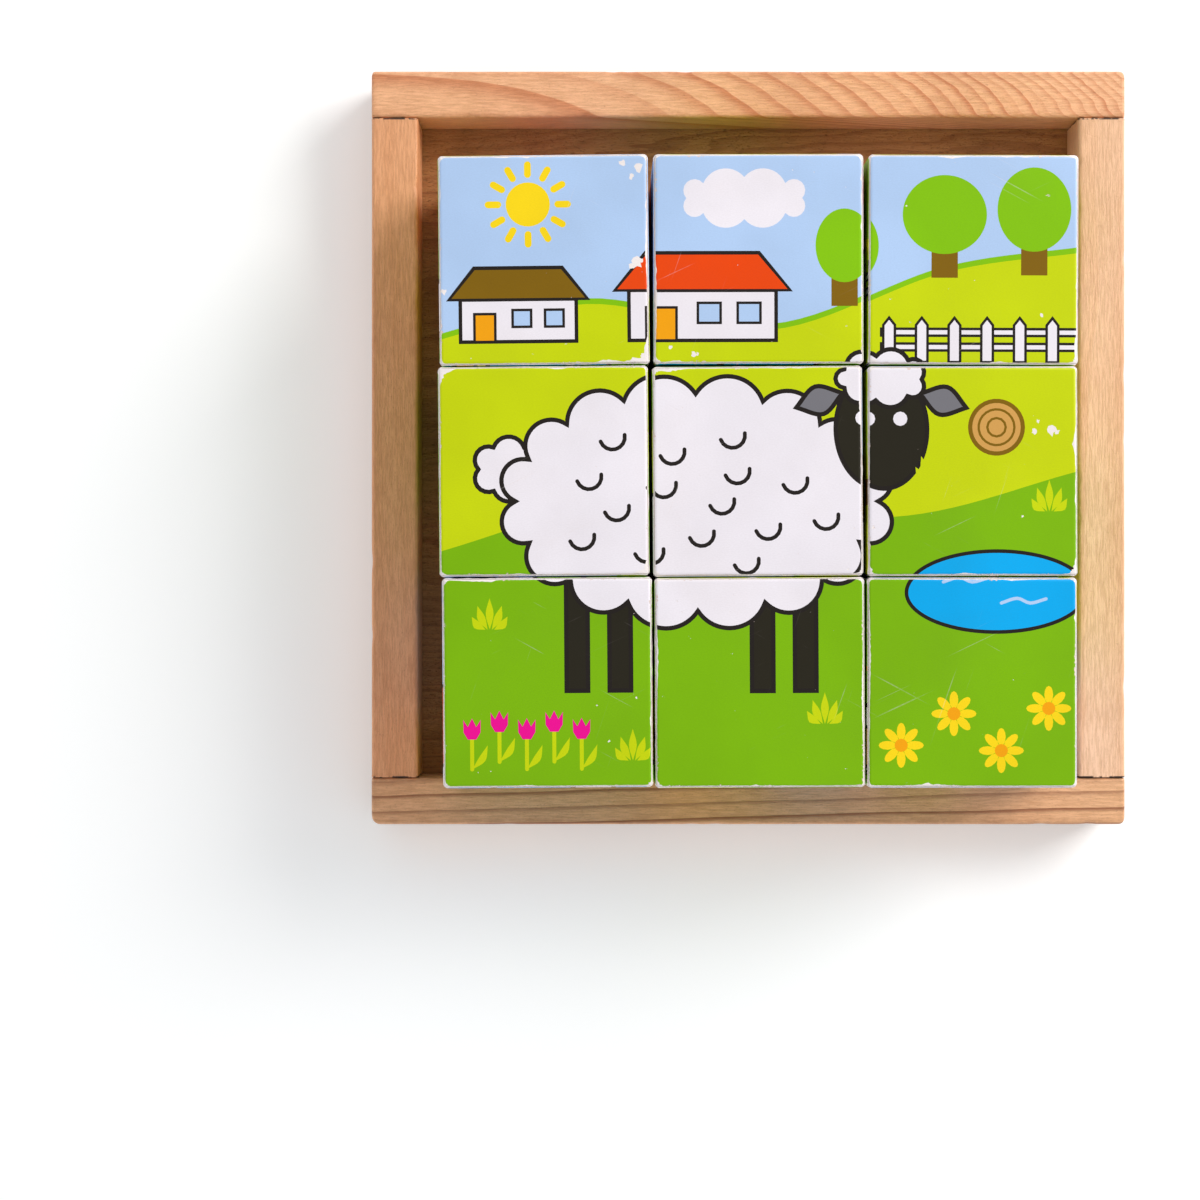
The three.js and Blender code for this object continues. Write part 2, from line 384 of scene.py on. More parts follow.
def placed(tree, make, inputs):
    """An effect group, built once, placed in a material with its own values."""
    group = bpy.data.node_groups.get(make.__name__) or make()
    return add(tree, "ShaderNodeGroup", inputs, node_tree=group).outputs


def attribute(tree, name, output="Fac"):
    return add(tree, "ShaderNodeAttribute", attribute_name=name).outputs[output]


def object_place(tree, centre=(0, 0, 0), turn=0.0):
    """Object coordinates about a centre, turned so that the grain runs along X."""
    source = add(tree, "ShaderNodeTexCoord").outputs["Object"]
    centred = vcalc(tree, "SUBTRACT", source, tuple(centre))
    inputs = {"Vector": centred, "Rotation": (0, 0, turn)}
    return add(tree, "ShaderNodeMapping", inputs).outputs[0]


def surface(tree, shader, ground, rough, height, depth, strength=1.0):
    """Gives the shader its colour, roughness and relief. depth is in metres."""
    inputs = {"Height": height, "Distance": depth, "Strength": strength}
    bump = add(tree, "ShaderNodeBump", inputs).outputs[0]
    for label, value in (("Base Color", ground), ("Roughness", rough), ("Normal", bump)):
        tree.links.new(value, shader.inputs[label])


def wood_material(name, early, late, centre=(0, 0, 0), turn=0.0, edge=None, glued_end=None,
                  line_strength=1.0, **rings):
    """Sanded softwood with a thin coat of lacquer. edge: the attribute that is 1 along worn edges.
    glued_end: how far from the middle the glue of its end joints shows."""
    material, tree, shader = empty_material(name)
    place = object_place(tree, centre, turn)
    grain = placed(tree, growth_rings, {"Position": place, **rings})
    edge = attribute(tree, edge) if edge else 0.0
    inputs = {"Position": place, "Edge": edge, "Seed": rings["Seed"]}
    marks = placed(tree, handling_marks, inputs)
    line = calc(tree, "MULTIPLY", grain["Growth Line"], line_strength)
    ground = tint(tree, line, early, late)
    darker = dimmed(early, 0.9, 0.82, 0.74)
    ground = tint(tree, calc(tree, "MULTIPLY", grain["Figure"], 0.5), ground, darker, "DARKEN")
    shade = ease(tree, grain["Fibre"], 0.0, 1.0, 1 - FIBRE_CONTRAST, 1 + FIBRE_CONTRAST / 3)
    warmer = {0: shade, 1: calc(tree, "POWER", shade, 1.25), 2: calc(tree, "POWER", shade, 1.6)}
    warmer = add(tree, "ShaderNodeCombineColor", warmer).outputs[0]
    ground = tint(tree, 1.0, ground, warmer, "MULTIPLY")
    deep = dimmed(late, 0.62, 0.5, 0.4)
    ground = tint(tree, calc(tree, "MULTIPLY", grain["Pores"], 0.3), ground, deep)
    worn = dimmed(late, 0.8, 0.7, 0.62)
    ground = tint(tree, calc(tree, "MULTIPLY", marks["Rubbed"], 0.4), ground, worn)
    ground = tint(tree, calc(tree, "MULTIPLY", marks["Grime"], 0.12), ground, deep)
    if glued_end:
        reach = calc(tree, "ABSOLUTE", part_of(tree, place, "X"))
        joint = ease(tree, reach, glued_end - 0.4 * MM, glued_end - 0.15 * MM)
        dashes = ease(tree, speckle(tree, place, 700.0, 2.0), 0.43, 0.5)
        ground = tint(tree, calc(tree, "MULTIPLY", joint, dashes), ground, DRIED_GLUE)
    rough = ease(tree, grain["Fibre"], 0.0, 1.0, 0.4, 0.56)
    rough = calc(tree, "MULTIPLY_ADD", marks["Rubbed"], -0.1, rough)
    height = calc(tree, "MULTIPLY_ADD", line, 0.5, grain["Fibre"])
    height = calc(tree, "MULTIPLY_ADD", grain["Pores"], -1.2, height)
    height = calc(tree, "MULTIPLY_ADD", marks["Scratches"], -0.7, height)
    surface(tree, shader, ground, rough, height, 0.06 * MM, 0.8)
    shader.inputs["Coat Weight"].default_value = 0.12
    shader.inputs["Coat Roughness"].default_value = 0.3
    return material


def panel_material(settings):
    """Thin plywood: face veneer above and below, and three plies at the sides."""
    material, tree, shader = empty_material("panel_veneer")
    place = object_place(tree)
    rings = {"Pith": (0, 30, -60), "Slope": (0, 0.06, 0.02), "Spacing": 1.6, "Reference": 60,
             "Crowding": 1.5, "Wander": 3.0, "Rise": 0.1, "Seed": 5.0}
    grain = placed(tree, growth_rings, {"Position": place, **rings})
    marks = placed(tree, handling_marks, {"Position": place, "Seed": 2.0})
    share = calc(tree, "DIVIDE", part_of(tree, place, "Z"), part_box("base_panel")[1].z)

    def layer(up_from, up_to, down_from, down_to):
        """1 between two heights, as shares of the panel's thickness."""
        rise = ease(tree, share, up_from, up_to)
        return calc(tree, "MULTIPLY", rise, ease(tree, share, down_from, down_to, 1, 0))

    core = layer(0.32, 0.36, 0.64, 0.68)
    seams = layer(0.31, 0.335, 0.335, 0.36)
    seams = calc(tree, "MAXIMUM", seams, layer(0.64, 0.665, 0.665, 0.69))
    early, late = settings.panel_early, settings.panel_late
    ground = tint(tree, grain["Growth Line"], early, late)
    ground = tint(tree, core, ground, dimmed(early, 0.72))
    for mask, strength, tone in (
        (grain["Pores"], 0.5, dimmed(late, 0.5)),
        (grain["Fibre"], 0.3, late),
        (seams, 0.8, dimmed(late, 0.3)),
        (marks["Grime"], 0.3, dimmed(late, 0.5)),
    ):
        ground = tint(tree, calc(tree, "MULTIPLY", mask, strength), ground, tone)
    rough = ease(tree, grain["Fibre"], 0, 1, 0.6, 0.78)
    height = calc(tree, "MULTIPLY_ADD", grain["Pores"], -1.5, grain["Fibre"])
    height = calc(tree, "MULTIPLY_ADD", seams, -1.5, height)
    surface(tree, shader, ground, rough, height, 0.08 * MM)
    return material


def steel_material():
    """Bright drawn steel, dulled, with a few brown spots."""
    material, tree, shader = empty_material("brad_wire")
    place = object_place(tree)
    marks = placed(tree, handling_marks, {"Position": place, "Edge": 1.0, "Patch": 700.0})
    spots = ease(tree, speckle(tree, place, 2600.0, 4.0, 0.65), 0.56, 0.68)
    ground = tint(tree, marks["Grime"], linear(150, 150, 154), linear(108, 106, 106))
    ground = tint(tree, calc(tree, "MULTIPLY", spots, 0.7), ground, linear(104, 66, 42))
    tree.links.new(ease(tree, spots, 0, 1, 0.95, 0.2), shader.inputs["Metallic"])
    rough = ease(tree, marks["Rubbed"], 0, 1, 0.62, 0.42)
    height = calc(tree, "MULTIPLY_ADD", spots, 0.6, marks["Scratches"])
    surface(tree, shader, ground, rough, height, 0.03 * MM)
    return material


def label_material(cubes):
    """Glossy printed paper: ink from the print attribute, worn white at its edges."""
    material, tree, shader = empty_material("label_print")
    place = object_place(tree)
    ink = attribute(tree, "print", "Color")
    inked = attribute(tree, "inked")
    spot = add(tree, "ShaderNodeUVMap", uv_map="label").outputs[0]
    sides = []
    for axis in ("X", "Y"):
        off_middle = calc(tree, "SUBTRACT", part_of(tree, spot, axis), 0.5)
        sides.append(calc(tree, "SUBTRACT", 0.5, calc(tree, "ABSOLUTE", off_middle)))
    inset = calc(tree, "MULTIPLY", calc(tree, "MINIMUM", *sides), CELL)
    marks = placed(tree, handling_marks, {"Position": place, "Edge": 1.0, "Patch": 45.0})
    ragged = speckle(tree, place, 1500.0, 4.0, 0.7)
    patch = speckle(tree, place, 170.0, 2.0)
    reach = ease(tree, patch, 0.45, 0.72, 0.3, 0.75)
    reach = calc(tree, "MULTIPLY", reach, ease(tree, ragged, 0.3, 0.7))
    worn = calc(tree, "LESS_THAN", inset, reach)
    bare = calc(tree, "MAXIMUM", worn, calc(tree, "MULTIPLY", marks["Scratches"], 0.2))
    flecks = ease(tree, speckle(tree, place, 620.0, 3.0, 0.6), 0.735, 0.76)
    bare = calc(tree, "MAXIMUM", bare, flecks)
    faded = ease(tree, speckle(tree, place, 38.0, 3.0), 0.35, 0.65, 0.96, 1.03)
    faded = add(tree, "ShaderNodeCombineColor", {0: faded, 1: faded, 2: faded}).outputs[0]
    ground = tint(tree, 1.0, ink, faded, "MULTIPLY")
    fibres = speckle(tree, stretched(tree, place, 1.0, 2.2, 1.4), 2400.0, 3.0, 0.6)
    strength = ease(tree, fibres, 0.3, 0.7, 0.0, 0.12)
    ground = tint(tree, strength, ground, PAPER_FIBRE, "MULTIPLY")
    skin = tint(tree, ease(tree, ragged, 0.45, 0.6), cubes.paper, cubes.bond)
    ground = tint(tree, calc(tree, "MULTIPLY", bare, inked), ground, skin)
    ground = tint(tree, calc(tree, "MULTIPLY", marks["Grime"], 0.1), ground, HAND_GRIME, "MULTIPLY")
    rough = ease(tree, fibres, 0.3, 0.7, 0.33, 0.45)
    rough = calc(tree, "MULTIPLY_ADD", bare, 0.35, rough)
    rough = calc(tree, "MULTIPLY_ADD", marks["Grime"], 0.08, rough)
    height = calc(tree, "MULTIPLY_ADD", bare, -1.6, calc(tree, "MULTIPLY", fibres, 0.5))
    height = calc(tree, "MULTIPLY_ADD", patch, 1.5, height)
    surface(tree, shader, ground, rough, height, 0.05 * MM, 0.7)
    shader.inputs["Specular IOR Level"].default_value = 0.2
    return material


# Meshes ------------------------------------------------------------------------------------------

BRAD_HEAD = 1.2 * MM  # radius
BRAD_SHANK = 0.6 * MM  # radius
BRAD_THICKNESS = 0.6 * MM  # of a head
# Millimetres from a rail's end to each of its closest cross sections.
END_STATIONS = (0.0, 0.02, 0.08, 0.16, 0.26, 0.38, 0.52, 0.7, 0.9, 1.15, 1.45, 1.8, 2.2)


def new_object(name, mesh, material=None):
    piece = bpy.data.objects.new(name, mesh)
    bpy.context.scene.collection.objects.link(piece)
    if material and not mesh.materials:
        mesh.materials.append(material)
    return piece


def mesh_from(name, vertices, faces, material=None):
    mesh = bpy.data.meshes.new(name)
    mesh.from_pydata([tuple(point) for point in vertices], [], faces)
    mesh.validate()
    if material:
        mesh.materials.append(material)
    return mesh


def smooth_with_creases(mesh, crease=math.radians(32)):
    """Smooth shading, with every fold sharper than the crease angle kept sharp."""
    work = bmesh.new()
    work.from_mesh(mesh)
    for face in work.faces:
        face.smooth = True
    for edge in work.edges:
        edge.smooth = len(edge.link_faces) == 2 and edge.calc_face_angle(0) < crease
    work.to_mesh(mesh)
    work.free()


def finished_mesh(piece, name):
    """The evaluated shape of an object as a plain mesh, in place of its modifiers."""
    bpy.context.view_layer.update()
    graph = bpy.context.evaluated_depsgraph_get()
    mesh = bpy.data.meshes.new_from_object(piece.evaluated_get(graph))
    mesh.name = name
    piece.modifiers.clear()
    piece.data = mesh
    return mesh


def run_tree(name, tree, inputs, points=None):
    """A piece made by a geometry node tree, as a plain mesh."""
    piece = new_object(name, points or bpy.data.meshes.new(f"{name}_points"))
    modifier = piece.modifiers.new("shape", "NODES")
    modifier.node_group = tree
    for item in tree.interface.items_tree:
        if item.in_out == "INPUT" and item.name in inputs:
            modifier[item.identifier] = inputs[item.name]
    finished_mesh(piece, name)
    return piece


def shape_tree(name, inputs):
    """A geometry node tree with named inputs: the tree, its inputs and its output."""
    tree = bpy.data.node_groups.new(name, "GeometryNodeTree")
    for label, (kind, default) in inputs.items():
        socket = tree.interface.new_socket(label, in_out="INPUT", socket_type=kind)
        if default is not None:
            socket.default_value = default
    tree.interface.new_socket("Geometry", in_out="OUTPUT", socket_type="NodeSocketGeometry")
    return tree, tree.nodes.new("NodeGroupInput").outputs, tree.nodes.new("NodeGroupOutput")


def finish_tree(tree, geometry, material, output):
    real = add(tree, "GeometryNodeRealizeInstances", {0: geometry}).outputs[0]
    smooth = add(tree, "GeometryNodeSetShadeSmooth", {0: real}).outputs[0]
    coated = add(tree, "GeometryNodeSetMaterial", {0: smooth, "Material": material}).outputs[0]
    tree.links.new(coated, output.inputs[0])
    return tree


def rounded_block_tree():
    """A cube with rounded edges: a fine grid pulled on to the rounded shape."""
    tree, given, output = shape_tree(
        "rounded_block",
        {
            "Half Side": ("NodeSocketFloat", 0.02),
            "Edge Radius": ("NodeSocketFloat", 0.0006),
            "Centre": ("NodeSocketVector", None),
            "Turn": ("NodeSocketFloat", 0.0),
            "Material": ("NodeSocketMaterial", None),
        },
    )
    counts = {"Vertices X": 15, "Vertices Y": 15, "Vertices Z": 15}
    block = add(tree, "GeometryNodeMeshCube", {"Size": (2, 2, 2), **counts}).outputs[0]
    place = tree.nodes.new("GeometryNodeInputPosition").outputs[0]
    inner = calc(tree, "SUBTRACT", given["Half Side"], given["Edge Radius"])
    row = vcalc(tree, "SCALE", vcalc(tree, "ABSOLUTE", place), 7.0)
    flat = vcalc(tree, "MINIMUM", vcalc(tree, "SCALE", row, 0.25), (1, 1, 1))
    bend = vcalc(tree, "MAXIMUM", vcalc(tree, "SUBTRACT", row, (4, 4, 4)), (0, 0, 0))
    bend = vcalc(tree, "TANGENT", vcalc(tree, "SCALE", bend, math.pi / 12))
    reach = vcalc(tree, "ADD", vcalc(tree, "SCALE", flat, inner),
                  vcalc(tree, "SCALE", bend, given["Edge Radius"]))
    point = vcalc(tree, "MULTIPLY", vcalc(tree, "SIGN", place), reach)
    most = add(tree, "ShaderNodeCombineXYZ", {0: inner, 1: inner, 2: inner}).outputs[0]
    least = vcalc(tree, "SCALE", most, -1.0)
    core = vcalc(tree, "MINIMUM", vcalc(tree, "MAXIMUM", point, least), most)
    outwards = vcalc(tree, "NORMALIZE", vcalc(tree, "SUBTRACT", point, core))
    round_point = vcalc(tree, "ADD", core, vcalc(tree, "SCALE", outwards, given["Edge Radius"]))
    shaped = add(tree, "GeometryNodeSetPosition", {0: block, "Position": round_point}).outputs[0]
    turn = add(tree, "ShaderNodeCombineXYZ", {2: given["Turn"]}).outputs[0]
    inputs = {"Geometry": shaped, "Translation": given["Centre"], "Rotation": turn}
    moved = add(tree, "GeometryNodeTransform", inputs).outputs[0]
    return finish_tree(tree, moved, given["Material"], output)


def brad_row_tree():
    """A brad at every point, with its head on the point and its shank along the heading."""
    tree, given, output = shape_tree(
        "brad_row",
        {
            "Geometry": ("NodeSocketGeometry", None),
            "Length": ("NodeSocketFloat", 0.018),
            "Head Radius": ("NodeSocketFloat", BRAD_HEAD),
            "Head Thickness": ("NodeSocketFloat", BRAD_THICKNESS),
            "Shank Radius": ("NodeSocketFloat", BRAD_SHANK),
            "Material": ("NodeSocketMaterial", None),
        },
    )
    steps = 9
    counts = {"Vertices": 24, "Side Segments": steps, "Radius": 1.0, "Depth": 1.0}
    rod = add(tree, "GeometryNodeMeshCylinder", counts).outputs["Mesh"]
    place = tree.nodes.new("GeometryNodeInputPosition").outputs[0]
    parts = add(tree, "ShaderNodeSeparateXYZ", {0: place}).outputs
    level = calc(tree, "ROUND", calc(tree, "MULTIPLY", calc(tree, "ADD", parts["Z"], 0.5), steps))
    head, thick = given["Head Radius"], given["Head Thickness"]
    shank, length = given["Shank Radius"], given["Length"]

    def times(size, share):
        return calc(tree, "MULTIPLY", size, share)

    profile = (  # radius and depth, from the head's face to the point
        (times(head, 0.55), times(thick, 0.08)),
        (times(head, 0.86), 0.0),
        (times(head, 0.97), times(thick, 0.12)),
        (head, times(thick, 0.4)),
        (times(head, 0.95), times(thick, 0.75)),
        (times(shank, 1.15), thick),
        (shank, times(thick, 1.5)),
        (shank, times(length, 0.6)),
        (shank, calc(tree, "MULTIPLY_ADD", shank, -3.0, length)),
        (times(shank, 0.25), length),
    )
    switches = []
    for column in (0, 1):
        switch = add(tree, "GeometryNodeIndexSwitch", data_type="FLOAT")
        while len(switch.index_switch_items) < len(profile):
            switch.index_switch_items.new()
        tree.links.new(level, switch.inputs["Index"])
        for number, pair in enumerate(profile):
            feed(tree, switch.inputs[number + 1], pair[column])
        switches.append(switch.outputs[0])
    spread = [calc(tree, "MULTIPLY", parts[axis], switches[0]) for axis in ("X", "Y")]
    point = {0: spread[0], 1: spread[1], 2: switches[1]}
    point = add(tree, "ShaderNodeCombineXYZ", point).outputs[0]
    brad = add(tree, "GeometryNodeSetPosition", {0: rod, "Position": point}).outputs[0]
    heading = add(tree, "GeometryNodeInputNamedAttribute", {"Name": "heading"},
                  data_type="FLOAT_VECTOR").outputs[0]
    turn = add(tree, "FunctionNodeAlignRotationToVector", {"Vector": heading}, axis="Z").outputs[0]
    inputs = {"Points": given["Geometry"], "Instance": brad, "Rotation": turn}
    row = add(tree, "GeometryNodeInstanceOnPoints", inputs).outputs[0]
    return finish_tree(tree, row, given["Material"], output)


def rounded_corner(centre, radius, start, steps):
    """Points of a quarter circle from the angle start, in degrees."""
    angles = [math.radians(start + 90 * step / steps) for step in range(steps + 1)]
    return [(centre[0] + radius * math.cos(a), centre[1] + radius * math.sin(a)) for a in angles]


def rail_section(low, high, foot, top, edge_weights):
    """Cross section of a rail, anticlockwise: across, up and how near to an edge it lies."""
    (left, bottom), (right, ceiling) = low, high
    corners = (
        ((left + foot, bottom + foot), foot, 180, 2, 4),
        ((right - foot, bottom + foot), foot, 270, 2, 7),
        ((right - top, ceiling - top), top, 0, 6, 8),
        ((left + top, ceiling - top), top, 90, 6, 7),
    )
    arcs = [rounded_corner(*corner[:4]) for corner in corners]
    ring = []
    for index, arc in enumerate(arcs):
        weight = edge_weights[index]
        ring += [(*point, weight) for point in arc]
        following = arcs[(index + 1) % 4][0]
        steps = corners[index][4]
        for step in range(1, steps):
            share = 0.06 if step == 1 else 0.94 if step == steps - 1 else (step - 1) / (steps - 2)
            start = Vector(arc[-1])
            point = start.lerp(Vector(following), share)
            ring.append((point.x, point.y, weight * 0.35 if step in (1, steps - 1) else 0.0))
    return ring


def end_inset(radius, gap):
    """How far a surface has drawn in at this gap from an end rounded by radius."""
    if gap >= radius:
        return 0.0
    return radius - math.sqrt(radius * radius - (radius - gap) ** 2)


def rail_mesh(name, low, high, end_radii, settings, seed):
    """A rail along X between two corners. end_radii: at its low end and high end, the radii of
    the inner upright edge (low Y) and of the outer one (high Y)."""
    rng = random.Random(seed)
    length = high.x - low.x
    gaps = [gap * MM for gap in END_STATIONS]
    inner_length = length - 2 * gaps[-1]
    count = max(8, round(inner_length / settings.station))
    stations = gaps + [gaps[-1] + inner_length * step / count for step in range(1, count)]
    stations += [length - gap for gap in reversed(gaps)]
    weights = (0.3, 0.3, 1.0, 1.0)
    vertices, edge_values = [], []
    for along in stations:
        gap = min(along, length - along)
        inner, outer = end_radii[0 if along < length / 2 else 1]
        foot_in = end_inset(settings.foot_radius, gap)
        top_in = end_inset(min(settings.top_radius, max(inner, outer)), gap)
        corner_low = (low.y + end_inset(inner, gap), low.z + foot_in)
        corner_high = (high.y - end_inset(outer, gap), high.z - top_in)
        radii = settings.foot_radius, settings.top_radius
        ring = rail_section(corner_low, corner_high, *radii, weights)
        near_end = max(0.0, 1 - gap / (1.2 * MM)) * min(1.0, max(inner, outer) / (0.8 * MM))
        for across, up, weight in ring:
            vertices.append(Vector((low.x + along, across, up)))
            edge_values.append(max(weight, near_end))
    ring_size = len(vertices) // len(stations)
    faces = []
    for row in range(len(stations) - 1):
        for step in range(ring_size):
            a = row * ring_size + step
            b = row * ring_size + (step + 1) % ring_size
            faces.append((a, a + ring_size, b + ring_size, b))
    faces.append(tuple(range(ring_size)))
    last = (len(stations) - 1) * ring_size
    faces.append(tuple(reversed(range(last, last + ring_size))))
    middle = (low + high) / 2
    dents = []
    for _ in range(settings.dents):
        side = rng.choice((low.y, high.y))
        centre = Vector((low.x + rng.uniform(0.04, 0.96) * length, side, high.z))
        width = rng.uniform(0.6, 1.7) * MM
        dents.append((centre, width, rng.uniform(0.3, 1.0) * settings.dent_depth))
    for point in vertices:
        inwards = Vector((0, middle.y - point.y, (middle.z - point.z) * 0.6)).normalized()
        wave = noise.noise(Vector((point.x * 45, point.y * 90 + seed, point.z * 90)))
        ripple = noise.noise(Vector((point.x * 260, point.y * 260, point.z * 260 + seed)))
        push = settings.hand_work * max(0.0, 0.5 + 0.5 * wave + 0.22 * ripple)
        for centre, width, depth in dents:
            away = (point - centre).length
            if away < 3 * width:
                push += depth * math.exp(-((away / width) ** 2))
        if MM * 0.5 < point.x - low.x < length - MM * 0.5:
            point += inwards * push
    mesh = mesh_from(name, vertices, faces)
    values = mesh.attributes.new("edge", "FLOAT", "POINT")
    values.data.foreach_set("value", edge_values)
    return mesh


def lathe(profile, place, heading, steps=24):
    """Vertices and faces of a closed turned shape. profile: pairs of radius and depth, where the
    first and the last radius are 0."""
    turn = Vector((0, 0, 1)).rotation_difference(heading).to_matrix()
    rings = profile[1:-1]
    points = [place + heading * profile[0][1]]
    for radius, depth in rings:
        for step in range(steps):
            a = 2 * math.pi * step / steps
            points.append(place + turn @ Vector((radius * math.cos(a), radius * math.sin(a), depth)))
    points.append(place + heading * profile[-1][1])
    faces = []
    for step in range(steps):
        after = (step + 1) % steps
        faces.append((0, 1 + after, 1 + step))
        for row in range(len(rings) - 1):
            a, b = 1 + row * steps + step, 1 + row * steps + after
            faces.append((a, b, b + steps, a + steps))
        base = 1 + (len(rings) - 1) * steps
        faces.append((base + step, base + after, len(points) - 1))
    return points, faces


def brad_places():
    """Of every brad: its node's name, the middle of its head and the way that it points."""
    places = []
    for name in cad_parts:
        if "_brad_" not in name:
            continue
        low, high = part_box(name)
        middle = (low + high) / 2
        if "corner" in name:
            heading = Vector((0, 1 if middle.y < 0 else -1, 0))
            head = Vector((middle.x, low.y if heading.y > 0 else high.y, middle.z))
        else:
            heading = Vector((0, 0, 1))
            head = Vector((middle.x, middle.y, low.z))
        places.append((name, head, heading, max(high - low)))
    return places


def brad_holes(settings):
    """The holes of all brads as one closed tool for cutting."""
    points, faces = [], []
    play = settings.brad_fit
    for _, head, heading, length in brad_places():
        wide, narrow = BRAD_HEAD + play, BRAD_SHANK + play
        profile = (
            (0, -1.5 * MM), (wide + 0.1 * MM, -1.5 * MM), (wide, 0.1 * MM),
            (wide, BRAD_THICKNESS + play), (narrow, BRAD_THICKNESS + 0.1 * MM + play),
            (narrow, length), (0, length + play),
        )
        ring_points, ring_faces = lathe(profile, head, heading)
        faces += [tuple(len(points) + index for index in face) for face in ring_faces]
        points += ring_points
    return mesh_from("brad_holes", points, faces)


# Drawing kit: flat artwork in millimetres ---------------------------------------------------------

CELL = 39.8  # side of a cube, and of its share of a picture
PICTURE = 3 * CELL


def oval(x, y, across, up=None, turn=0.0, sides=None):
    """Points round an oval, about a point for each 0.9 mm unless sides says how many."""
    up = across if up is None else up
    sides = sides or max(10, int(2 * math.pi * max(across, up) / 0.9))
    angles = np.linspace(0, 2 * math.pi, sides, endpoint=False)
    return spun(np.stack((across * np.cos(angles), up * np.sin(angles)), 1), turn) + (x, y)


def spun(points, turn):
    """Points turned about the origin, in degrees."""
    c, s = math.cos(math.radians(turn)), math.sin(math.radians(turn))
    return np.asarray(points, float) @ np.array(((c, s), (-s, c)))


def box(left, bottom, right, top):
    return np.array(((left, bottom), (right, bottom), (right, top), (left, top)), float)


def flowing(points, closed=False, step=0.8):
    """A smooth line through the points."""
    points = np.asarray(points, float)
    count = len(points)
    spans = count if closed else count - 1
    out = []
    for span in range(spans):
        if closed:
            p0, p1, p2, p3 = (points[(span + k) % count] for k in (-1, 0, 1, 2))
        else:
            p1, p2 = points[span], points[span + 1]
            p0 = points[span - 1] if span else 2 * p1 - p2
            p3 = points[span + 2] if span + 2 < count else 2 * p2 - p1
        pieces = max(1, int(math.ceil(np.linalg.norm(p2 - p1) / step)))
        for piece in range(pieces):
            t = piece / pieces
            out.append(0.5 * (2 * p1 + (p2 - p0) * t + (2 * p0 - 5 * p1 + 4 * p2 - p3) * t * t
                              + (3 * p1 - p0 - 3 * p2 + p3) * t * t * t))
    if not closed:
        out.append(points[-1])
    return np.array(out)


def bow(start, end, rise, step=0.8):
    """Points of an arc from start to end, without its end, that swells to the right by rise."""
    start, end = np.asarray(start, float), np.asarray(end, float)
    chord = end - start
    length = np.linalg.norm(chord)
    radius = (length * length / 4 + rise * rise) / (2 * rise)
    right = np.array((chord[1], -chord[0])) / length
    centre = (start + end) / 2 - right * (radius - rise)
    half = math.atan2(length / 2, radius - rise)
    first = math.atan2(*(start - centre)[::-1])
    pieces = max(3, int(2 * half * radius / step))
    angles = first + 2 * half * np.arange(pieces) / pieces
    return centre + radius * np.stack((np.cos(angles), np.sin(angles)), 1)


def scalloped(x, y, across, up, lobes, rise, turn=0.0):
    """A cloud or wool outline: arcs between points on an oval."""
    cusps = oval(x, y, across, up, turn, lobes)
    return np.concatenate([bow(cusps[k], cusps[(k + 1) % lobes], rise) for k in range(lobes)])


def eased(points, radius):
    """A polygon with its corners rounded."""
    points = np.asarray(points, float)
    out = []
    for before, corner, after in zip(np.roll(points, 1, 0), points, np.roll(points, -1, 0)):
        arms = []
        for other in (before, after):
            arm = other - corner
            reach = min(radius, 0.48 * np.linalg.norm(arm))
            arms.append(corner + arm / np.linalg.norm(arm) * reach)
        for t in (0.0, 0.25, 0.5, 0.75, 1.0):
            out.append((1 - t) ** 2 * arms[0] + 2 * t * (1 - t) * corner + t * t * arms[1])
    return np.array(out)


def blade(base, tip, width, lean=0.0):
    """A leaf from base to tip that bends to its left by lean."""
    base, tip = np.asarray(base, float), np.asarray(tip, float)
    along = tip - base
    left = np.array((-along[1], along[0])) / np.linalg.norm(along)
    middle = base + along * 0.5 + left * lean
    sides = [flowing((base, middle + left * width / 2 * sign, tip)) for sign in (-1, 1)]
    return np.concatenate((sides[0], sides[1][::-1][1:-1]))


def stroke(points, width, closed=False):
    """The outline, as loops, of a line of this width."""
    points = np.asarray(points, float)
    ahead = np.roll(points, -1, 0) - points
    if not closed:
        ahead[-1] = ahead[-2]
    ahead /= np.maximum(np.linalg.norm(ahead, axis=1), 1e-9)[:, None]
    behind = np.roll(ahead, 1, 0)
    if not closed:
        behind[0] = ahead[0]
    mean = ahead + behind
    mean /= np.maximum(np.linalg.norm(mean, axis=1), 1e-9)[:, None]
    mitre = 1 / np.maximum(0.62, (mean * ahead).sum(1))
    left = np.stack((-mean[:, 1], mean[:, 0]), 1) * (mitre * width / 2)[:, None]
    if closed:
        return [points - left, (points + left)[::-1]]
    caps = []
    for centre, direction in ((points[-1], ahead[-1]), (points[0], -ahead[0])):
        heading = math.atan2(direction[1], direction[0])
        angles = heading + np.radians((-60, -20, 20, 60))
        caps.append(centre + width / 2 * np.stack((np.cos(angles), np.sin(angles)), 1))
    return [np.concatenate((points - left, caps[0], (points + left)[::-1], caps[1]))]


class Drawing:
    """Layers of ink, each a colour and its outlines. Later layers lie over earlier ones."""

    def __init__(self, ground="sky"):
        self.layers = []
        self.fill(ground, box(-2, -2, PICTURE + 2, PICTURE + 2))

    def fill(self, ink, *loops):
        self.layers.append((ink, [np.asarray(loop, float) for loop in loops]))

    def line(self, ink, points, width=0.8, closed=False):
        self.fill(ink, *stroke(points, width, closed))

    def shape(self, ink, points, outline="black", width=0.85):
        self.fill(ink, points)
        self.line(outline, points, width, closed=True)


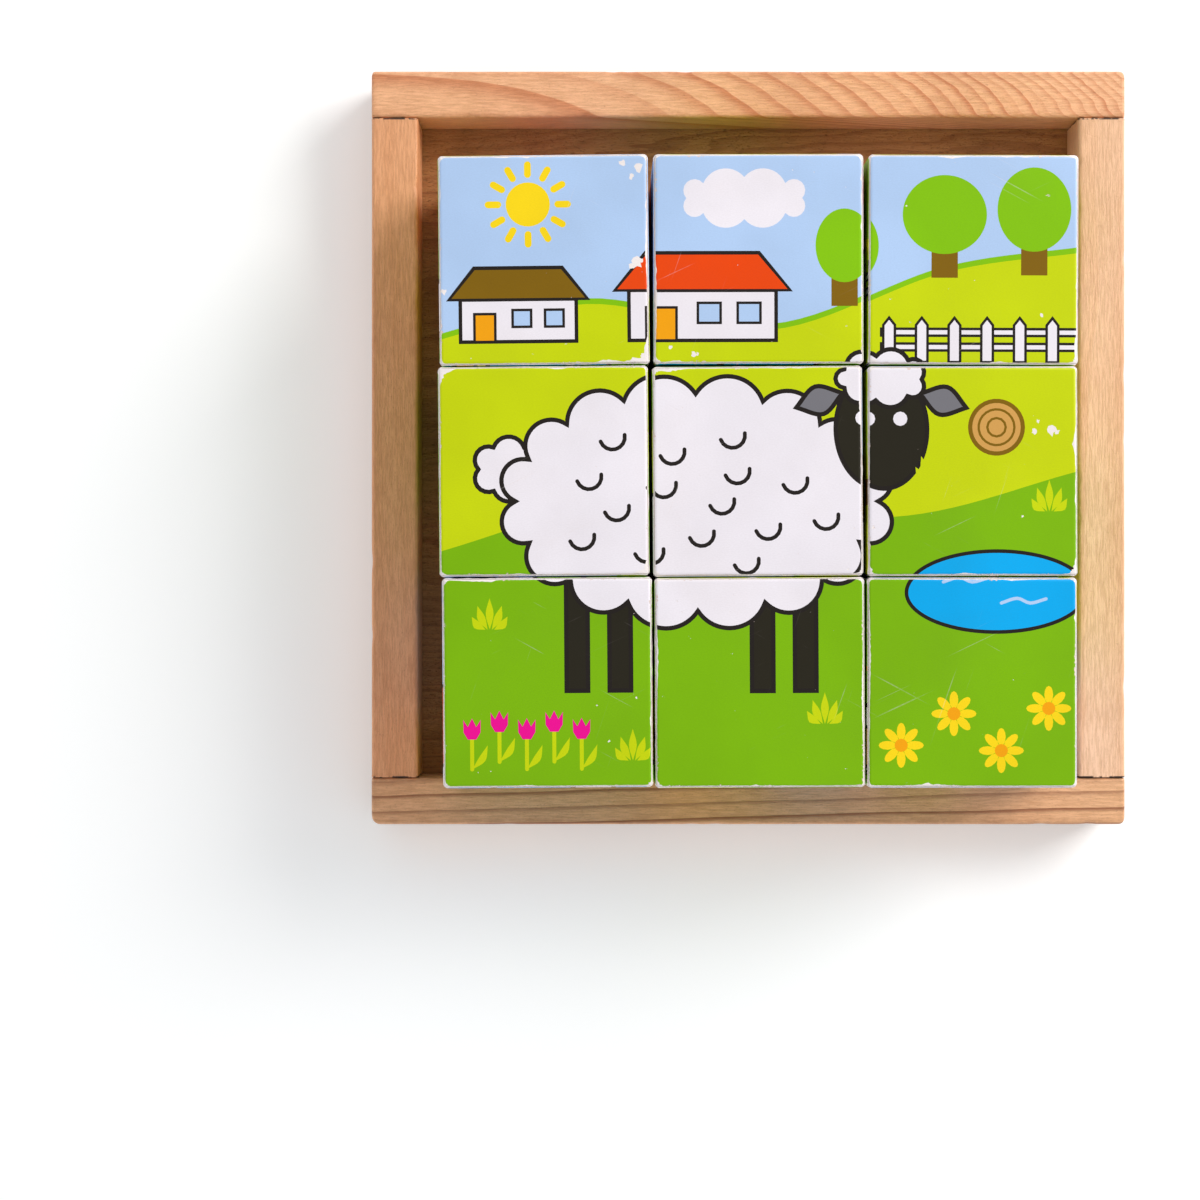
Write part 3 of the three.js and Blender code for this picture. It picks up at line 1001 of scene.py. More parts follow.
def inside(loops, points):
    """Which points lie inside the loops, by how often the loops wind round them."""
    winding = np.zeros(len(points), int)
    x, y = points[:, :1], points[:, 1:]
    for loop in loops:
        after = np.roll(loop, -1, 0)
        ax, ay, bx, by = loop[:, 0], loop[:, 1], after[:, 0], after[:, 1]
        side = (bx - ax) * (y - ay) - (x - ax) * (by - ay)
        winding += ((ay <= y) & (by > y) & (side > 0)).sum(1)
        winding -= ((ay > y) & (by <= y) & (side < 0)).sum(1)
    return winding != 0


# Shared motifs -------------------------------------------------------------------------------------


def draw_tree(art, x, y, across, up):
    """A round tree on a short trunk, about its crown's middle."""
    art.fill("brown", box(x - 2.5, y - up - 4.5, x + 2.5, y - up + 2.5))
    art.fill("bush", oval(x, y, across, up))


def draw_tuft(art, x, y):
    """A fan of five grass blades."""
    for step in range(-2, 3):
        heading = math.radians(90 - 27 * step)
        reach = 6.0 - 0.9 * abs(step)
        tip = (x + reach * math.cos(heading), y + reach * math.sin(heading))
        art.fill("lime", blade((x + 0.4 * step, y), tip, 1.5, -0.25 * step))


def draw_daisy(art, x, y, size):
    for turn in range(0, 360, 45):
        a = math.radians(turn)
        spot = (x + 0.62 * size * math.cos(a), y + 0.62 * size * math.sin(a))
        art.fill("yellow", oval(*spot, 0.4 * size, 0.2 * size, turn, 12))
    art.fill("orange", oval(x, y, 0.3 * size, sides=12))


def draw_tulip(art, x, y, size):
    """A tulip, its foot at x, y."""
    art.line("lime", ((x, y), (x, y + 2.3 * size)), 0.28 * size)
    art.fill("lime", blade((x, y), (x + 1.1 * size, y + 1.7 * size), 0.5 * size, -0.2 * size))
    cup = ((-0.62, 3.5), (-0.6, 2.6), (-0.3, 2.1), (0.3, 2.1), (0.6, 2.6), (0.62, 3.5), (0.3, 3.0),
           (0, 3.6), (-0.3, 3.0))
    art.fill("magenta", np.array(cup) * size + (x, y))


def draw_reed(art, x, y):
    """A reed with two leaves, its foot at x, y."""
    art.line("lime", ((x, y), (x, y + 9)), 0.6)
    for side in (-1, 1):
        art.fill("lime", blade((x, y), (x + 2.7 * side, y + 7.5), 1.1, -0.5 * side))
    art.fill("reed", oval(x, y + 10.5, 0.9, 2.6))


def draw_sun(art, x, y, size):
    art.fill("yellow", oval(x, y, size))
    for k in range(12):
        ray = np.array((math.cos(2 * math.pi * k / 12), math.sin(2 * math.pi * k / 12)))
        art.line("yellow", ray * size * np.array(((1.35,), (1.8,))) + (x, y), 1.3)


def draw_cloud(art, x, y, across, up, rise=2.4):
    art.fill("wool", scalloped(x, y, across, up, 8, rise))


def draw_ripple(art, x, y, steps, rises, width):
    """A small wave on water, through points at these steps from x and rises over y."""
    points = [(x + step, y + rise) for step, rise in zip(steps, rises)]
    art.line("sky", flowing(points), width)


def draw_bale(art, x, y, size):
    """A round bale of straw, seen from its end."""
    art.shape("tan", oval(x, y, size), "brown", 0.8)
    for share in (0.35, 0.68):
        art.line("brown", oval(x, y, share * size), 0.45, closed=True)


def draw_house(art, x, y, wide, tall, roof="red"):
    """A gabled cottage seen from its side, its lower left corner at x, y."""
    art.shape("wool", box(x, y, x + wide, y + tall), "black", 0.7)
    art.shape("orange", box(x + 0.12 * wide, y, x + 0.3 * wide, y + 0.66 * tall), "black", 0.5)
    for left in (0.45, 0.73):
        pane = box(x + left * wide, y + 0.35 * tall, x + (left + 0.16) * wide, y + 0.75 * tall)
        art.shape("sky", pane, "black", 0.5)
    top = y + 1.75 * tall
    slopes = ((x - 0.1 * wide, y + tall), (x + 1.1 * wide, y + tall), (x + 0.88 * wide, top),
              (x + 0.12 * wide, top))
    art.shape(roof, np.array(slopes), "black", 0.7)


def draw_fence(art, left, right, y):
    for level in (2.2, 5.0):
        art.shape("wool", box(left, y + level, right, y + level + 1.3), "black", 0.5)
    pale = np.array(((-1.1, 0), (1.1, 0), (1.1, 7), (0, 8.4), (-1.1, 7)))
    for post in np.arange(left + 1.5, right - 1, 6.2):
        art.shape("wool", pale + (post, y), "black", 0.5)


def draw_sheep(art, x, y, size):
    """A plain sheep that stands and looks to the right, about its body's middle."""

    def at(*points):
        return np.array(points, float) * size + (x, y)

    for side in (-0.66, -0.42, 0.36, 0.6):
        art.shape("slate", at(*box(side - 0.06, -1.05, side + 0.06, -0.4)))
    art.shape("wool", scalloped(*at((-1.02, 0.18))[0], 0.17 * size, 0.14 * size, 6, 0.06 * size))
    art.shape("wool", scalloped(x, y, 0.98 * size, 0.6 * size, 16, 0.12 * size))
    bend = np.radians(np.linspace(200, 370, 9))
    curl = 0.07 * size * np.stack((np.cos(bend), np.sin(bend)), 1)
    curls = 15
    for k in range(curls):
        reach = math.sqrt((k + 0.5) / curls)
        spot = at((0.78 * reach * math.cos(2.4 * k), 0.44 * reach * math.sin(2.4 * k)))
        art.line("black", curl + spot, 0.75)
    for side in (-1, 1):
        ear = at((1.02 + 0.2 * side, 0.6), (1.02 + 0.46 * side, 0.52))
        art.shape("grey", blade(*ear, 0.16 * size))
    art.shape("slate", oval(*at((1.02, 0.4))[0], 0.24 * size, 0.33 * size))
    art.shape("wool", scalloped(*at((1.02, 0.68))[0], 0.21 * size, 0.12 * size, 7, 0.05 * size))
    for side in (-0.09, 0.09):
        art.fill("wool", oval(*at((1.02 + side, 0.46))[0], 0.04 * size, sides=12))


def draw_beast(art, x, y, size, coat, hoof, patches=()):
    """A plain farm animal that looks to the right, about its body's middle."""

    def at(points):
        return np.array(points) * size + (x, y)

    leg = np.array(((-0.1, -0.95), (0.1, -0.95), (0.12, -0.3), (-0.12, -0.3)))
    foot = np.array(((-0.15, -1.08), (0.2, -1.08), (0.11, -0.88), (-0.11, -0.88)))
    for side in (-0.62, -0.3, 0.34, 0.66):
        art.shape(coat, at(leg + (side, 0)))
        art.shape(hoof, eased(at(foot + (side, 0)), 0.8))
    art.line("black", flowing(at(((-0.95, 0.1), (-1.18, 0.25), (-1.25, -0.05), (-1.12, -0.2)))), 0.9)
    body = ((-0.95, 0.05), (-0.75, 0.45), (-0.2, 0.52), (0.4, 0.5), (0.88, 0.32), (0.98, -0.1),
            (0.72, -0.45), (0.0, -0.55), (-0.7, -0.48))
    body = flowing(at(body), closed=True)
    art.fill(coat, body)
    for patch_x, patch_y, across, up, ink in patches:
        art.fill(ink, oval(x + patch_x * size, y + patch_y * size, across * size, up * size, 15))
    art.line("black", body, 0.85, closed=True)
    for side, lean in ((0.72, 0.35), (1.22, -0.35)):
        tip = at(((side + math.copysign(0.22, side - 0.97), 0.98),))[0]
        art.shape("rose", blade(at(((side, 0.62),))[0], tip, 0.3 * size, lean))
    art.shape(coat, oval(x + 0.97 * size, y + 0.4 * size, 0.42 * size, 0.36 * size))
    art.shape("rose", oval(x + 1.16 * size, y + 0.24 * size, 0.26 * size, 0.19 * size))
    for side in (-0.09, 0.09):
        nostril = (x + (1.17 + side) * size, y + 0.26 * size)
        art.fill("black", oval(*nostril, 0.035 * size, 0.05 * size, sides=8))
    for side in (-0.1, 0.14):
        eye = at(((0.95 + side, 0.54),))[0]
        art.fill("black", oval(*eye, 0.06 * size, sides=12))


def draw_bird(art, x, y, size, coat, wing, comb=None, afloat=False):
    """A plain hen or duck that looks to the right."""

    def at(points):
        return np.array(points) * size + (x, y)

    if not afloat:
        for side in (-0.12, 0.2):
            leg = at(((side, -0.45), (side + 0.02, -0.85), (side + 0.2, -0.9)))
            art.line("orange", leg, 0.8)
    if comb:
        for side in (0.52, 0.66, 0.8):
            art.shape(comb, oval(x + side * size, y + 0.95 * size, 0.1 * size), width=0.6)
    body = ((-1.0, 0.45), (-0.75, 0.1), (-0.1, 0.12), (0.32, 0.35), (0.42, 0.75), (0.68, 0.9),
            (0.92, 0.72), (0.86, 0.4), (0.72, 0.1), (0.5, -0.3), (0.0, -0.52), (-0.6, -0.42),
            (-0.9, -0.1))
    art.shape(coat, flowing(at(body), closed=True))
    art.shape("orange", at(((0.88, 0.72), (1.22, 0.6), (0.88, 0.5))))
    art.fill("black", oval(x + 0.7 * size, y + 0.68 * size, 0.07 * size, sides=10))
    feathers = ((0.25, 0.05), (-0.2, 0.1), (-0.72, 0.02), (-0.5, -0.18), (-0.05, -0.3), (0.25, -0.2))
    art.shape(wing, flowing(at(feathers), closed=True), width=0.7)


def draw_hills(art, far, near, near_ink="leaf"):
    """Two bands of land below rows of points from left to right, the far one with a dark rim."""
    foot = ((PICTURE + 2, -2), (-2, -2))
    far, near = flowing(far, step=3), flowing(near, step=3)
    for ink, crest in (("bush", far + (0, 1.1)), ("lime", far), (near_ink, near)):
        art.fill(ink, np.concatenate((crest, foot)))


def each(draw, art, *spots):
    """The same motif at several spots, each with its own place and size."""
    for spot in spots:
        draw(art, *spot)


# Pictures ------------------------------------------------------------------------------------------
# Six plain farm scenes, in mm from a picture's lower left corner.


def sheep_in_meadow():
    art = Drawing()
    draw_sun(art, 17, 110, 4.2)
    draw_cloud(art, 57, 111, 11, 4.0, 2.2)
    draw_hills(art, ((-2, 84), (28, 91), (62, 86), (94, 97), (121, 101)),
               ((-2, 44), (40, 55), (84, 51), (121, 60)))
    each(draw_house, art, (4, 84, 22, 8, "brown"), (36, 84, 27, 9.5))
    each(draw_tree, art, (76, 102, 5.5, 7), (94, 108, 8, 7.5), (111, 109, 7, 8))
    draw_fence(art, 82, 121, 80)
    art.shape("blue", oval(104, 37, 17, 7.5), "black", 0.7)
    for x, y in ((98, 39), (109, 35)):
        draw_ripple(art, x, y, (-4, -1, 1.5, 4.5), (0, 0.9, 0, 0.8), 0.6)
    draw_sheep(art, 48, 54, 34)
    each(draw_tuft, art, (9, 30), (72, 12), (92, 58), (36, 5), (114, 52))
    draw_bale(art, 104, 68, 5)
    for k in range(5):
        draw_tulip(art, 5.5 + 5.2 * k, 3.5 + 1.4 * (k % 2), 2.7)
    each(draw_daisy, art, (86, 8, 4.2), (96, 14, 4.2), (105, 7, 4.2), (114, 15, 4.2))
    return art


def ducks_on_pond():
    art = Drawing()
    draw_sun(art, 98, 104, 6.5)
    draw_cloud(art, 30, 106, 12, 4.5)
    draw_hills(art, ((-2, 82), (30, 90), (70, 84), (121, 92)), ((-2, 66), (50, 72), (121, 64)))
    each(draw_tree, art, (14, 96, 8, 8), (61, 95, 6, 9), (108, 86, 7, 6))
    pond = ((4, 30), (22, 52), (60, 60), (100, 54), (114, 34), (96, 12), (52, 6), (16, 12))
    art.shape("blue", flowing(pond, closed=True), "black", 1.0)
    for x, y in ((34, 46), (78, 50), (60, 14), (92, 24), (24, 22)):
        draw_ripple(art, x, y, (-5, -2, 1, 5), (0, 1.1, 0, 1.0), 0.7)
    draw_bird(art, 42, 34, 15, "wool", "yellow", afloat=True)
    draw_bird(art, 80, 36, 10, "yellow", "orange", afloat=True)
    draw_bird(art, 97, 27, 7, "yellow", "orange", afloat=True)
    each(draw_tuft, art, (7, 58), (112, 56), (34, 63), (84, 62))
    each(draw_reed, art, (8, 22), (113, 18))
    each(draw_daisy, art, (106, 8, 4.2), (14, 5, 4.0))
    return art


def pigs_by_barn():
    art = Drawing()
    draw_cloud(art, 88, 108, 13, 4.5)
    draw_hills(art, ((-2, 92), (50, 96), (121, 88)), ((-2, 60), (60, 66), (121, 60)))
    draw_house(art, 12, 74, 44, 16, "brown")
    each(draw_tree, art, (74, 100, 8, 9), (103, 92, 9, 8))
    draw_fence(art, 58, 120, 66)
    puddle = flowing(((20, 14), (44, 22), (84, 20), (100, 10), (60, 3)), closed=True)
    art.shape("brown", puddle, "black", 0.8)
    patches = ((-0.45, 0.15, 0.16, 0.13, "rose"), (0.2, 0.28, 0.14, 0.1, "rose"))
    each(draw_beast, art, (44, 38, 24, "pink", "brown", patches), (92, 26, 13, "pink", "brown"))
    each(draw_tuft, art, (12, 50), (108, 48), (84, 56), (10, 8))
    each(draw_daisy, art, (112, 12, 4.5), (8, 30, 4.0))
    return art


def cow_in_pasture():
    art = Drawing()
    draw_sun(art, 16, 106, 6.5)
    draw_cloud(art, 64, 110, 13, 4.2)
    draw_hills(art, ((-2, 88), (40, 82), (90, 94), (121, 90)), ((-2, 52), (60, 60), (121, 54)))
    draw_house(art, 80, 86, 26, 10)
    each(draw_tree, art, (66, 98, 6, 8), (30, 95, 8, 7))
    patches = ((-0.55, 0.12, 0.24, 0.26, "black"), (0.15, 0.3, 0.26, 0.15, "black"),
               (0.35, -0.25, 0.2, 0.13, "black"))
    draw_beast(art, 50, 42, 30, "wool", "slate", patches)
    draw_fence(art, -2, 34, 66)
    each(draw_tuft, art, (100, 20), (18, 6), (64, 4), (108, 70))
    each(draw_daisy, art, (92, 8, 4.5), (104, 36, 4.2), (8, 22, 4.2))
    return art


def hens_at_house():
    art = Drawing()
    draw_cloud(art, 26, 108, 12, 4.2)
    draw_hills(art, ((-2, 84), (60, 90), (121, 80)), ((-2, 56), (60, 50), (121, 58)))
    draw_tree(art, 16, 92, 9, 8)
    draw_house(art, 62, 64, 48, 20)
    draw_fence(art, -2, 54, 60)
    each(draw_bird, art, (40, 34, 19, "wool", "tan", "red"), (84, 24, 10, "yellow", "orange"),
         (104, 32, 8, "yellow", "orange"))
    each(draw_tuft, art, (62, 10), (22, 6), (96, 8), (12, 40))
    for k in range(14):
        x, y = 58 + 11 * math.sin(k * 2.1), 14 + 6 * math.cos(k * 1.3)
        art.fill("yellow", oval(x, y, 0.7, 0.5, 30 * k, 8))
    each(draw_daisy, art, (8, 14, 4.5), (112, 50, 4.5))
    return art


def tractor_in_field():
    art = Drawing()
    draw_cloud(art, 94, 106, 13, 4.6)
    draw_hills(art, ((-2, 80), (50, 90), (121, 84)), ((-2, 58), (50, 62), (121, 56)), "tan")
    for k in range(9):
        top = 8 + 13 * k
        furrow = ((top, 58.5), (top * 1.25 - 20, 28), (top * 1.6 - 40, -2))
        art.line("brown", flowing(furrow), 0.9)
    each(draw_tree, art, (20, 94, 8, 9), (104, 92, 8, 7))
    for ink, corners, radius in (
        ("red", ((30, 34), (30, 54), (92, 50), (94, 34)), 4),
        ("sky", ((34, 53), (37, 78), (58, 78), (60, 52)), 2),
        ("red", ((32, 77), (34, 83), (61, 83), (62, 77)), 1.5),
    ):
        art.shape(ink, eased(corners, radius), "black", 1.0)
    art.shape("grey", box(78, 50, 82, 66), "black", 0.8)
    for x, y, size in ((42, 28, 19), (88, 22, 12)):
        art.shape("slate", oval(x, y, size), "black", 1.0)
        art.shape("yellow", oval(x, y, size * 0.55), "black", 0.9)
        art.fill("red", oval(x, y, size * 0.2))
        for k in range(12):
            a = math.radians(30 * k)
            points = ((x + size * 0.78 * math.cos(a), y + size * 0.78 * math.sin(a)),
                      (x + size * 0.95 * math.cos(a + 0.12), y + size * 0.95 * math.sin(a + 0.12)))
            art.line("grey", points, 1.0)
    art.shape("yellow", oval(92, 44, 2.4), "black", 0.7)
    each(draw_tuft, art, (110, 40), (8, 50))
    return art


HIDDEN_PICTURES = {
    "front": ducks_on_pond,
    "right": pigs_by_barn,
    "back": cow_in_pasture,
    "left": hens_at_house,
    "bottom": tractor_in_field,
}


# Labels --------------------------------------------------------------------------------------------

FACES = {  # of a cube: the label's right, its up, and the way that it faces
    "top": ((1, 0, 0), (0, 1, 0), (0, 0, 1)),
    "front": ((1, 0, 0), (0, 0, 1), (0, -1, 0)),
    "right": ((0, 1, 0), (0, 0, 1), (1, 0, 0)),
    "back": ((-1, 0, 0), (0, 0, 1), (0, 1, 0)),
    "left": ((0, -1, 0), (0, 0, 1), (-1, 0, 0)),
    "bottom": ((1, 0, 0), (0, -1, 0), (0, 0, -1)),
}
FLAT_HALF = 19.125  # the label lies flat this far from its middle
BEND_RING = 19.42  # a ring of edges half way round the bend
BEND_RADIUS = 0.85  # of its upper side, over the core's rounded edge
FACE_HALF = 19.975  # from a cube's middle to the upper side of a label
CLIP_HALF = 19.5  # artwork ends this far from a label's middle


def trimmed(half, corner, stray, step, rng, bites=()):
    """A square with rounded corners whose sides stray inwards, anticlockwise."""
    points = eased(box(-half, -half, half, half), corner)
    out = []
    for start, end in zip(points, np.roll(points, -1, 0)):
        pieces = max(1, int(np.linalg.norm(end - start) / step))
        for piece in range(pieces):
            out.append(start + (end - start) * piece / pieces)
    out = np.array(out)
    angles = np.arctan2(out[:, 1], out[:, 0])
    slow = sum(np.sin(angles * k + rng.uniform(0, 6.3)) for k in (3, 5, 9)) / 6 + 0.5
    quick = np.array([rng.random() for _ in out])
    push = stray * (0.6 * slow + 0.4 * quick)
    for x, y, size, depth in bites:
        away = np.hypot(out[:, 0] - x, out[:, 1] - y)
        push += depth * np.clip(1 - away / size, 0, 1) * (0.6 + 0.4 * quick)
    return out * (1 - push / np.abs(out).max(1))[:, None]


def clipped(starts, ends, half):
    """The parts of line pieces that lie within a square."""
    delta = ends - starts
    low, high = np.zeros(len(starts)), np.ones(len(starts))
    keep = np.ones(len(starts), bool)
    for axis in (0, 1):
        for side in (-1, 1):
            reach = half - side * starts[:, axis]
            rate = side * delta[:, axis]
            flat = np.abs(rate) < 1e-12
            keep &= ~(flat & (reach < 0))
            ratio = np.where(flat, 0, reach / np.where(flat, 1, rate))
            high = np.where(~flat & (rate > 0), np.minimum(high, ratio), high)
            low = np.where(~flat & (rate < 0), np.maximum(low, ratio), low)
    keep &= low < high - 1e-9
    return (starts + delta * low[:, None])[keep], (starts + delta * high[:, None])[keep]


def triangulate(points, pieces):
    vectors = [Vector(point) for point in points]
    return delaunay_2d_cdt(vectors, pieces, [], 0, 1e-4)


def loop_pieces(start, count):
    return [(start + k, start + (k + 1) % count) for k in range(count)]


def sheet_point(u, v, lift):
    """A label's point in the frame of its face, lift above the label's middle surface."""
    past = Vector((max(abs(u) - FLAT_HALF, 0), max(abs(v) - FLAT_HALF, 0)))
    away = past.length
    if away < 1e-9:
        return Vector((u, v, FACE_HALF + lift))
    radius = BEND_RADIUS
    rise = math.sqrt(radius * radius - away * away)
    normal = Vector((math.copysign(past.x, u), math.copysign(past.y, v), rise)) / radius
    return Vector((u, v, FACE_HALF - radius + rise)) + normal * lift


def cell_layers(drawing, cell, quarters):
    """The layers of one cell of a picture, about the cell's middle, turned by quarter turns."""
    middle = np.array(((cell[0] + 0.5) * CELL, (cell[1] + 0.5) * CELL))
    layers = []
    for ink, loops in drawing.layers:
        moved = [spun(loop - middle, 90 * quarters) for loop in loops]
        low = np.min([loop.min(0) for loop in moved], 0)
        high = np.max([loop.max(0) for loop in moved], 0)
        if (low < CLIP_HALF).all() and (high > -CLIP_HALF).all():
            layers.append((ink, moved, low, high))
    return layers


def inked_colours(layers, middles, inks):
    """The colour of the topmost ink at every point."""
    colours = np.zeros((len(middles), 3))
    waiting = np.arange(len(middles))
    for ink, loops, low, high in reversed(layers):
        points = middles[waiting]
        near = ((points >= low) & (points <= high)).all(1)
        if not near.any():
            continue
        found = np.zeros(len(points), bool)
        found[near] = inside(loops, points[near])
        colours[waiting[found]] = inks[ink]
        waiting = waiting[~found]
        if not len(waiting):
            break
    return colours


def label_mesh(name, layers, place, cubes, inks, rng, bites=(), scars=()):
    """A printed sheet with thickness that follows the cube's rounded edges."""
    paper = tuple(cubes.paper)
    outline = trimmed(cubes.sheet_half / MM, 0.3, 0.05, 2.4, rng)
    window = trimmed(cubes.print_half / MM, 0.45, 0.13, 0.55, rng, bites)
    rings = [box(-side, -side, side, side) for side in (FLAT_HALF, BEND_RING)]
    points, pieces = [], []
    for loop in (outline, window, *rings):
        pieces += loop_pieces(len(points), len(loop))
        points += list(loop)
    for loops in (*(layer[1] for layer in layers), scars):
        for loop in loops:
            starts, ends = clipped(loop, np.roll(loop, -1, 0), CLIP_HALF)
            first = len(points)
            points += [point for pair in zip(starts, ends) for point in pair]
            pieces += [(first + 2 * k, first + 2 * k + 1) for k in range(len(starts))]
    flat, _, triangles, origins, *_ = triangulate(points, pieces)
    flat = np.array([tuple(point) for point in flat])
    triangles = np.array(triangles)
    middles = flat[triangles].mean(1)
    kept = inside([outline], middles)
    triangles, middles = triangles[kept], middles[kept]
    colours = inked_colours(layers, middles, inks)
    bare = ~inside([window], middles)
    for loop in scars:
        bare |= inside([loop], middles)
    colours[bare] = paper

    count = len(outline)
    lower, _, lower_triangles, lower_origins, *_ = triangulate(
        [*outline, *rings[0], *rings[1]],
        loop_pieces(0, count) + loop_pieces(count, 4) + loop_pieces(count + 4, 4),
    )
    lower = np.array([tuple(point) for point in lower])
    lower_triangles = np.array(lower_triangles)
    lower_triangles = lower_triangles[inside([outline], lower[lower_triangles].mean(1))]

    top_of = {source: index for index, sources in enumerate(origins) for source in sources}
    low_of = {source: index for index, sources in enumerate(lower_origins) for source in sources}
    thickness = cubes.sheet_thickness / MM
    vertices = [place(sheet_point(u, v, 0.0)) for u, v in flat]
    vertices += [place(sheet_point(u, v, -thickness)) for u, v in lower]
    base = len(flat)
    faces = [tuple(int(k) for k in triangle) for triangle in triangles]
    faces += [tuple(base + int(k) for k in reversed(triangle)) for triangle in lower_triangles]
    for k in range(count):
        after = (k + 1) % count
        faces.append((top_of[after], top_of[k], base + low_of[k], base + low_of[after]))
    mesh = bpy.data.meshes.new(name)
    mesh.from_pydata([tuple(vertex) for vertex in vertices], [], faces)

    unprinted = len(faces) - len(colours)
    face_colours = [*colours, *([paper] * unprinted)]
    face_inked = [*(~bare).astype(float), *([0.0] * unprinted)]
    spots = np.concatenate((flat, lower)) / CELL + 0.5
    sizes = [len(face) for face in faces]
    ink_data = np.ones((sum(sizes), 4), np.float32)
    ink_data[:, :3] = np.repeat(np.array(face_colours), sizes, 0)
    uv_data = spots[[corner for face in faces for corner in face]]
    for name, kind, domain, field, data in (
        ("print", "FLOAT_COLOR", "CORNER", "color", ink_data.ravel()),
        ("inked", "FLOAT", "FACE", "value", face_inked),
    ):
        mesh.attributes.new(name, kind, domain).data.foreach_set(field, data)
    mesh.uv_layers.new(name="label").data.foreach_set("uv", uv_data.ravel())
    smooth = [*(np.abs(middles).max(1) > FLAT_HALF), *([False] * unprinted)]
    mesh.polygons.foreach_set("use_smooth", smooth)
    mesh.update()
    return mesh


def cube_turn(name):
    """How far a cube's core is turned about Z, from its long edges."""
    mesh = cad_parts[f"{name}_core"].data
    best, turn = 0.0, 0.0
    for edge in mesh.edges:
        a, b = (mesh.vertices[index].co for index in edge.vertices)
        run = b - a if b.x > a.x else a - b
        if abs(run.z) < 1e-5 and abs(run.y) < 0.1 * run.x and run.length > best:
            best, turn = run.length, math.atan2(run.y, run.x)
    return turn


def cube_place(name):
    """The middle and the turn of a cube."""
    low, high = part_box(f"{name}_core")
    return (low + high) / 2, cube_turn(name)


# Pieces --------------------------------------------------------------------------------------------

GRAIN_INPUTS = ("Pith", "Slope", "Spacing", "Reference", "Crowding", "Wander", "Rise", "Seed",
                "line_strength")
RAIL_GRAIN = {
    "back_rail": ((0, 59.4, -8.5), (0, 0.0, -0.3), 5.2, 16.6, 3.0, 0.5, 0.2, 3.0, 1.0),
    "front_rail": ((0, -98.0, 4.0), (0, 0.03, 0.0), 2.9, 27.0, 1.0, 0.5, 0.55, 7.0, 1.0),
    "left_rail": ((0, 40.0, -30.0), (0, 0.05, 0.0), 3.4, 50.0, 1.0, 1.2, 0.1, 11.0, 0.55),
    "right_rail": ((0, -40.0, -70.0), (0, 0.04, 0.02), 3.0, 60.0, 1.0, 1.0, 0.1, 13.0, 0.5),
}


def piece_on(piece, body, slot, *nodes):
    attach(piece, body)
    if nodes:
        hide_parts(*nodes)


def require(made, what):
    if not made:
        raise RuntimeError(f"{what} could not be made")


FLOOR_RADIUS = 6.0  # metres
KEY_COLOUR = (1.0, 0.985, 0.96)
SENSOR_WIDTH = 36  # millimetres


class PUZZLE_OT_lay_stage(bpy.types.Operator):
    """Lay the pale floor and set up the soft lights and the camera over the tray"""

    bl_idname = "puzzle.lay_stage"
    bl_label = "Lay Stage"

    def execute(self, context):
        studio = context.scene.puzzle_studio
        work = bmesh.new()
        bmesh.ops.create_circle(work, cap_ends=True, segments=96, radius=FLOOR_RADIUS)
        mesh = bpy.data.meshes.new("floor")
        work.to_mesh(mesh)
        work.free()
        material, tree, shader = empty_material("pale_floor")
        cloud = speckle(tree, object_place(tree), 6.0)
        ground = tint(tree, ease(tree, cloud, 0.3, 0.7), (0.9, 0.9, 0.9), (0.93, 0.93, 0.93))
        tree.links.new(ground, shader.inputs["Base Color"])
        shader.inputs["Roughness"].default_value = 0.8
        shader.inputs["Emission Color"].default_value = (1, 1, 1, 1)
        shader.inputs["Emission Strength"].default_value = studio.floor_glow
        new_object("floor", mesh, material)

        key = bpy.data.lights.new("key", "AREA")
        key.shape = "SQUARE"
        key.size = studio.key_side
        key.energy = studio.key_power
        key.color = KEY_COLOUR
        lamp = bpy.data.objects.new("key", key)
        context.scene.collection.objects.link(lamp)
        flat = math.cos(studio.key_rise)
        heading = Vector((
            flat * math.cos(studio.key_heading),
            flat * math.sin(studio.key_heading),
            math.sin(studio.key_rise),
        ))
        lamp.location = heading * studio.key_distance
        lamp.rotation_euler = heading.to_track_quat("Z", "Y").to_euler()

        world = bpy.data.worlds.new("studio")
        context.scene.world = world
        world.use_nodes = True
        tree = world.node_tree
        tree.nodes.clear()
        seen = add(tree, "ShaderNodeLightPath").outputs["Is Camera Ray"]
        aim = add(tree, "ShaderNodeTexCoord").outputs["Generated"]
        rise = add(tree, "ShaderNodeSeparateXYZ", {0: aim}).outputs["Z"]
        fill = {0: rise, 3: studio.fill_low, 4: studio.fill_high}
        fill = add(tree, "ShaderNodeMapRange", fill).outputs[0]
        strength = add(tree, "ShaderNodeMapRange", {0: seen, 3: fill, 4: 1.0}).outputs[0]
        inputs = {"Color": (*studio.fill_colour, 1), "Strength": strength}
        light = add(tree, "ShaderNodeBackground", inputs)
        output = tree.nodes.new("ShaderNodeOutputWorld")
        tree.links.new(light.outputs[0], output.inputs["Surface"])
        context.scene.view_settings.view_transform = "Standard"

        camera = bpy.data.cameras.new("camera")
        camera.lens = studio.lens
        camera.sensor_width = SENSOR_WIDTH
        camera.clip_start = 0.01
        eye = bpy.data.objects.new("camera", camera)
        context.scene.collection.objects.link(eye)
        eye.location = (studio.eye_x, studio.eye_y, studio.eye_height)
        context.scene.camera = eye
        return {"FINISHED"}


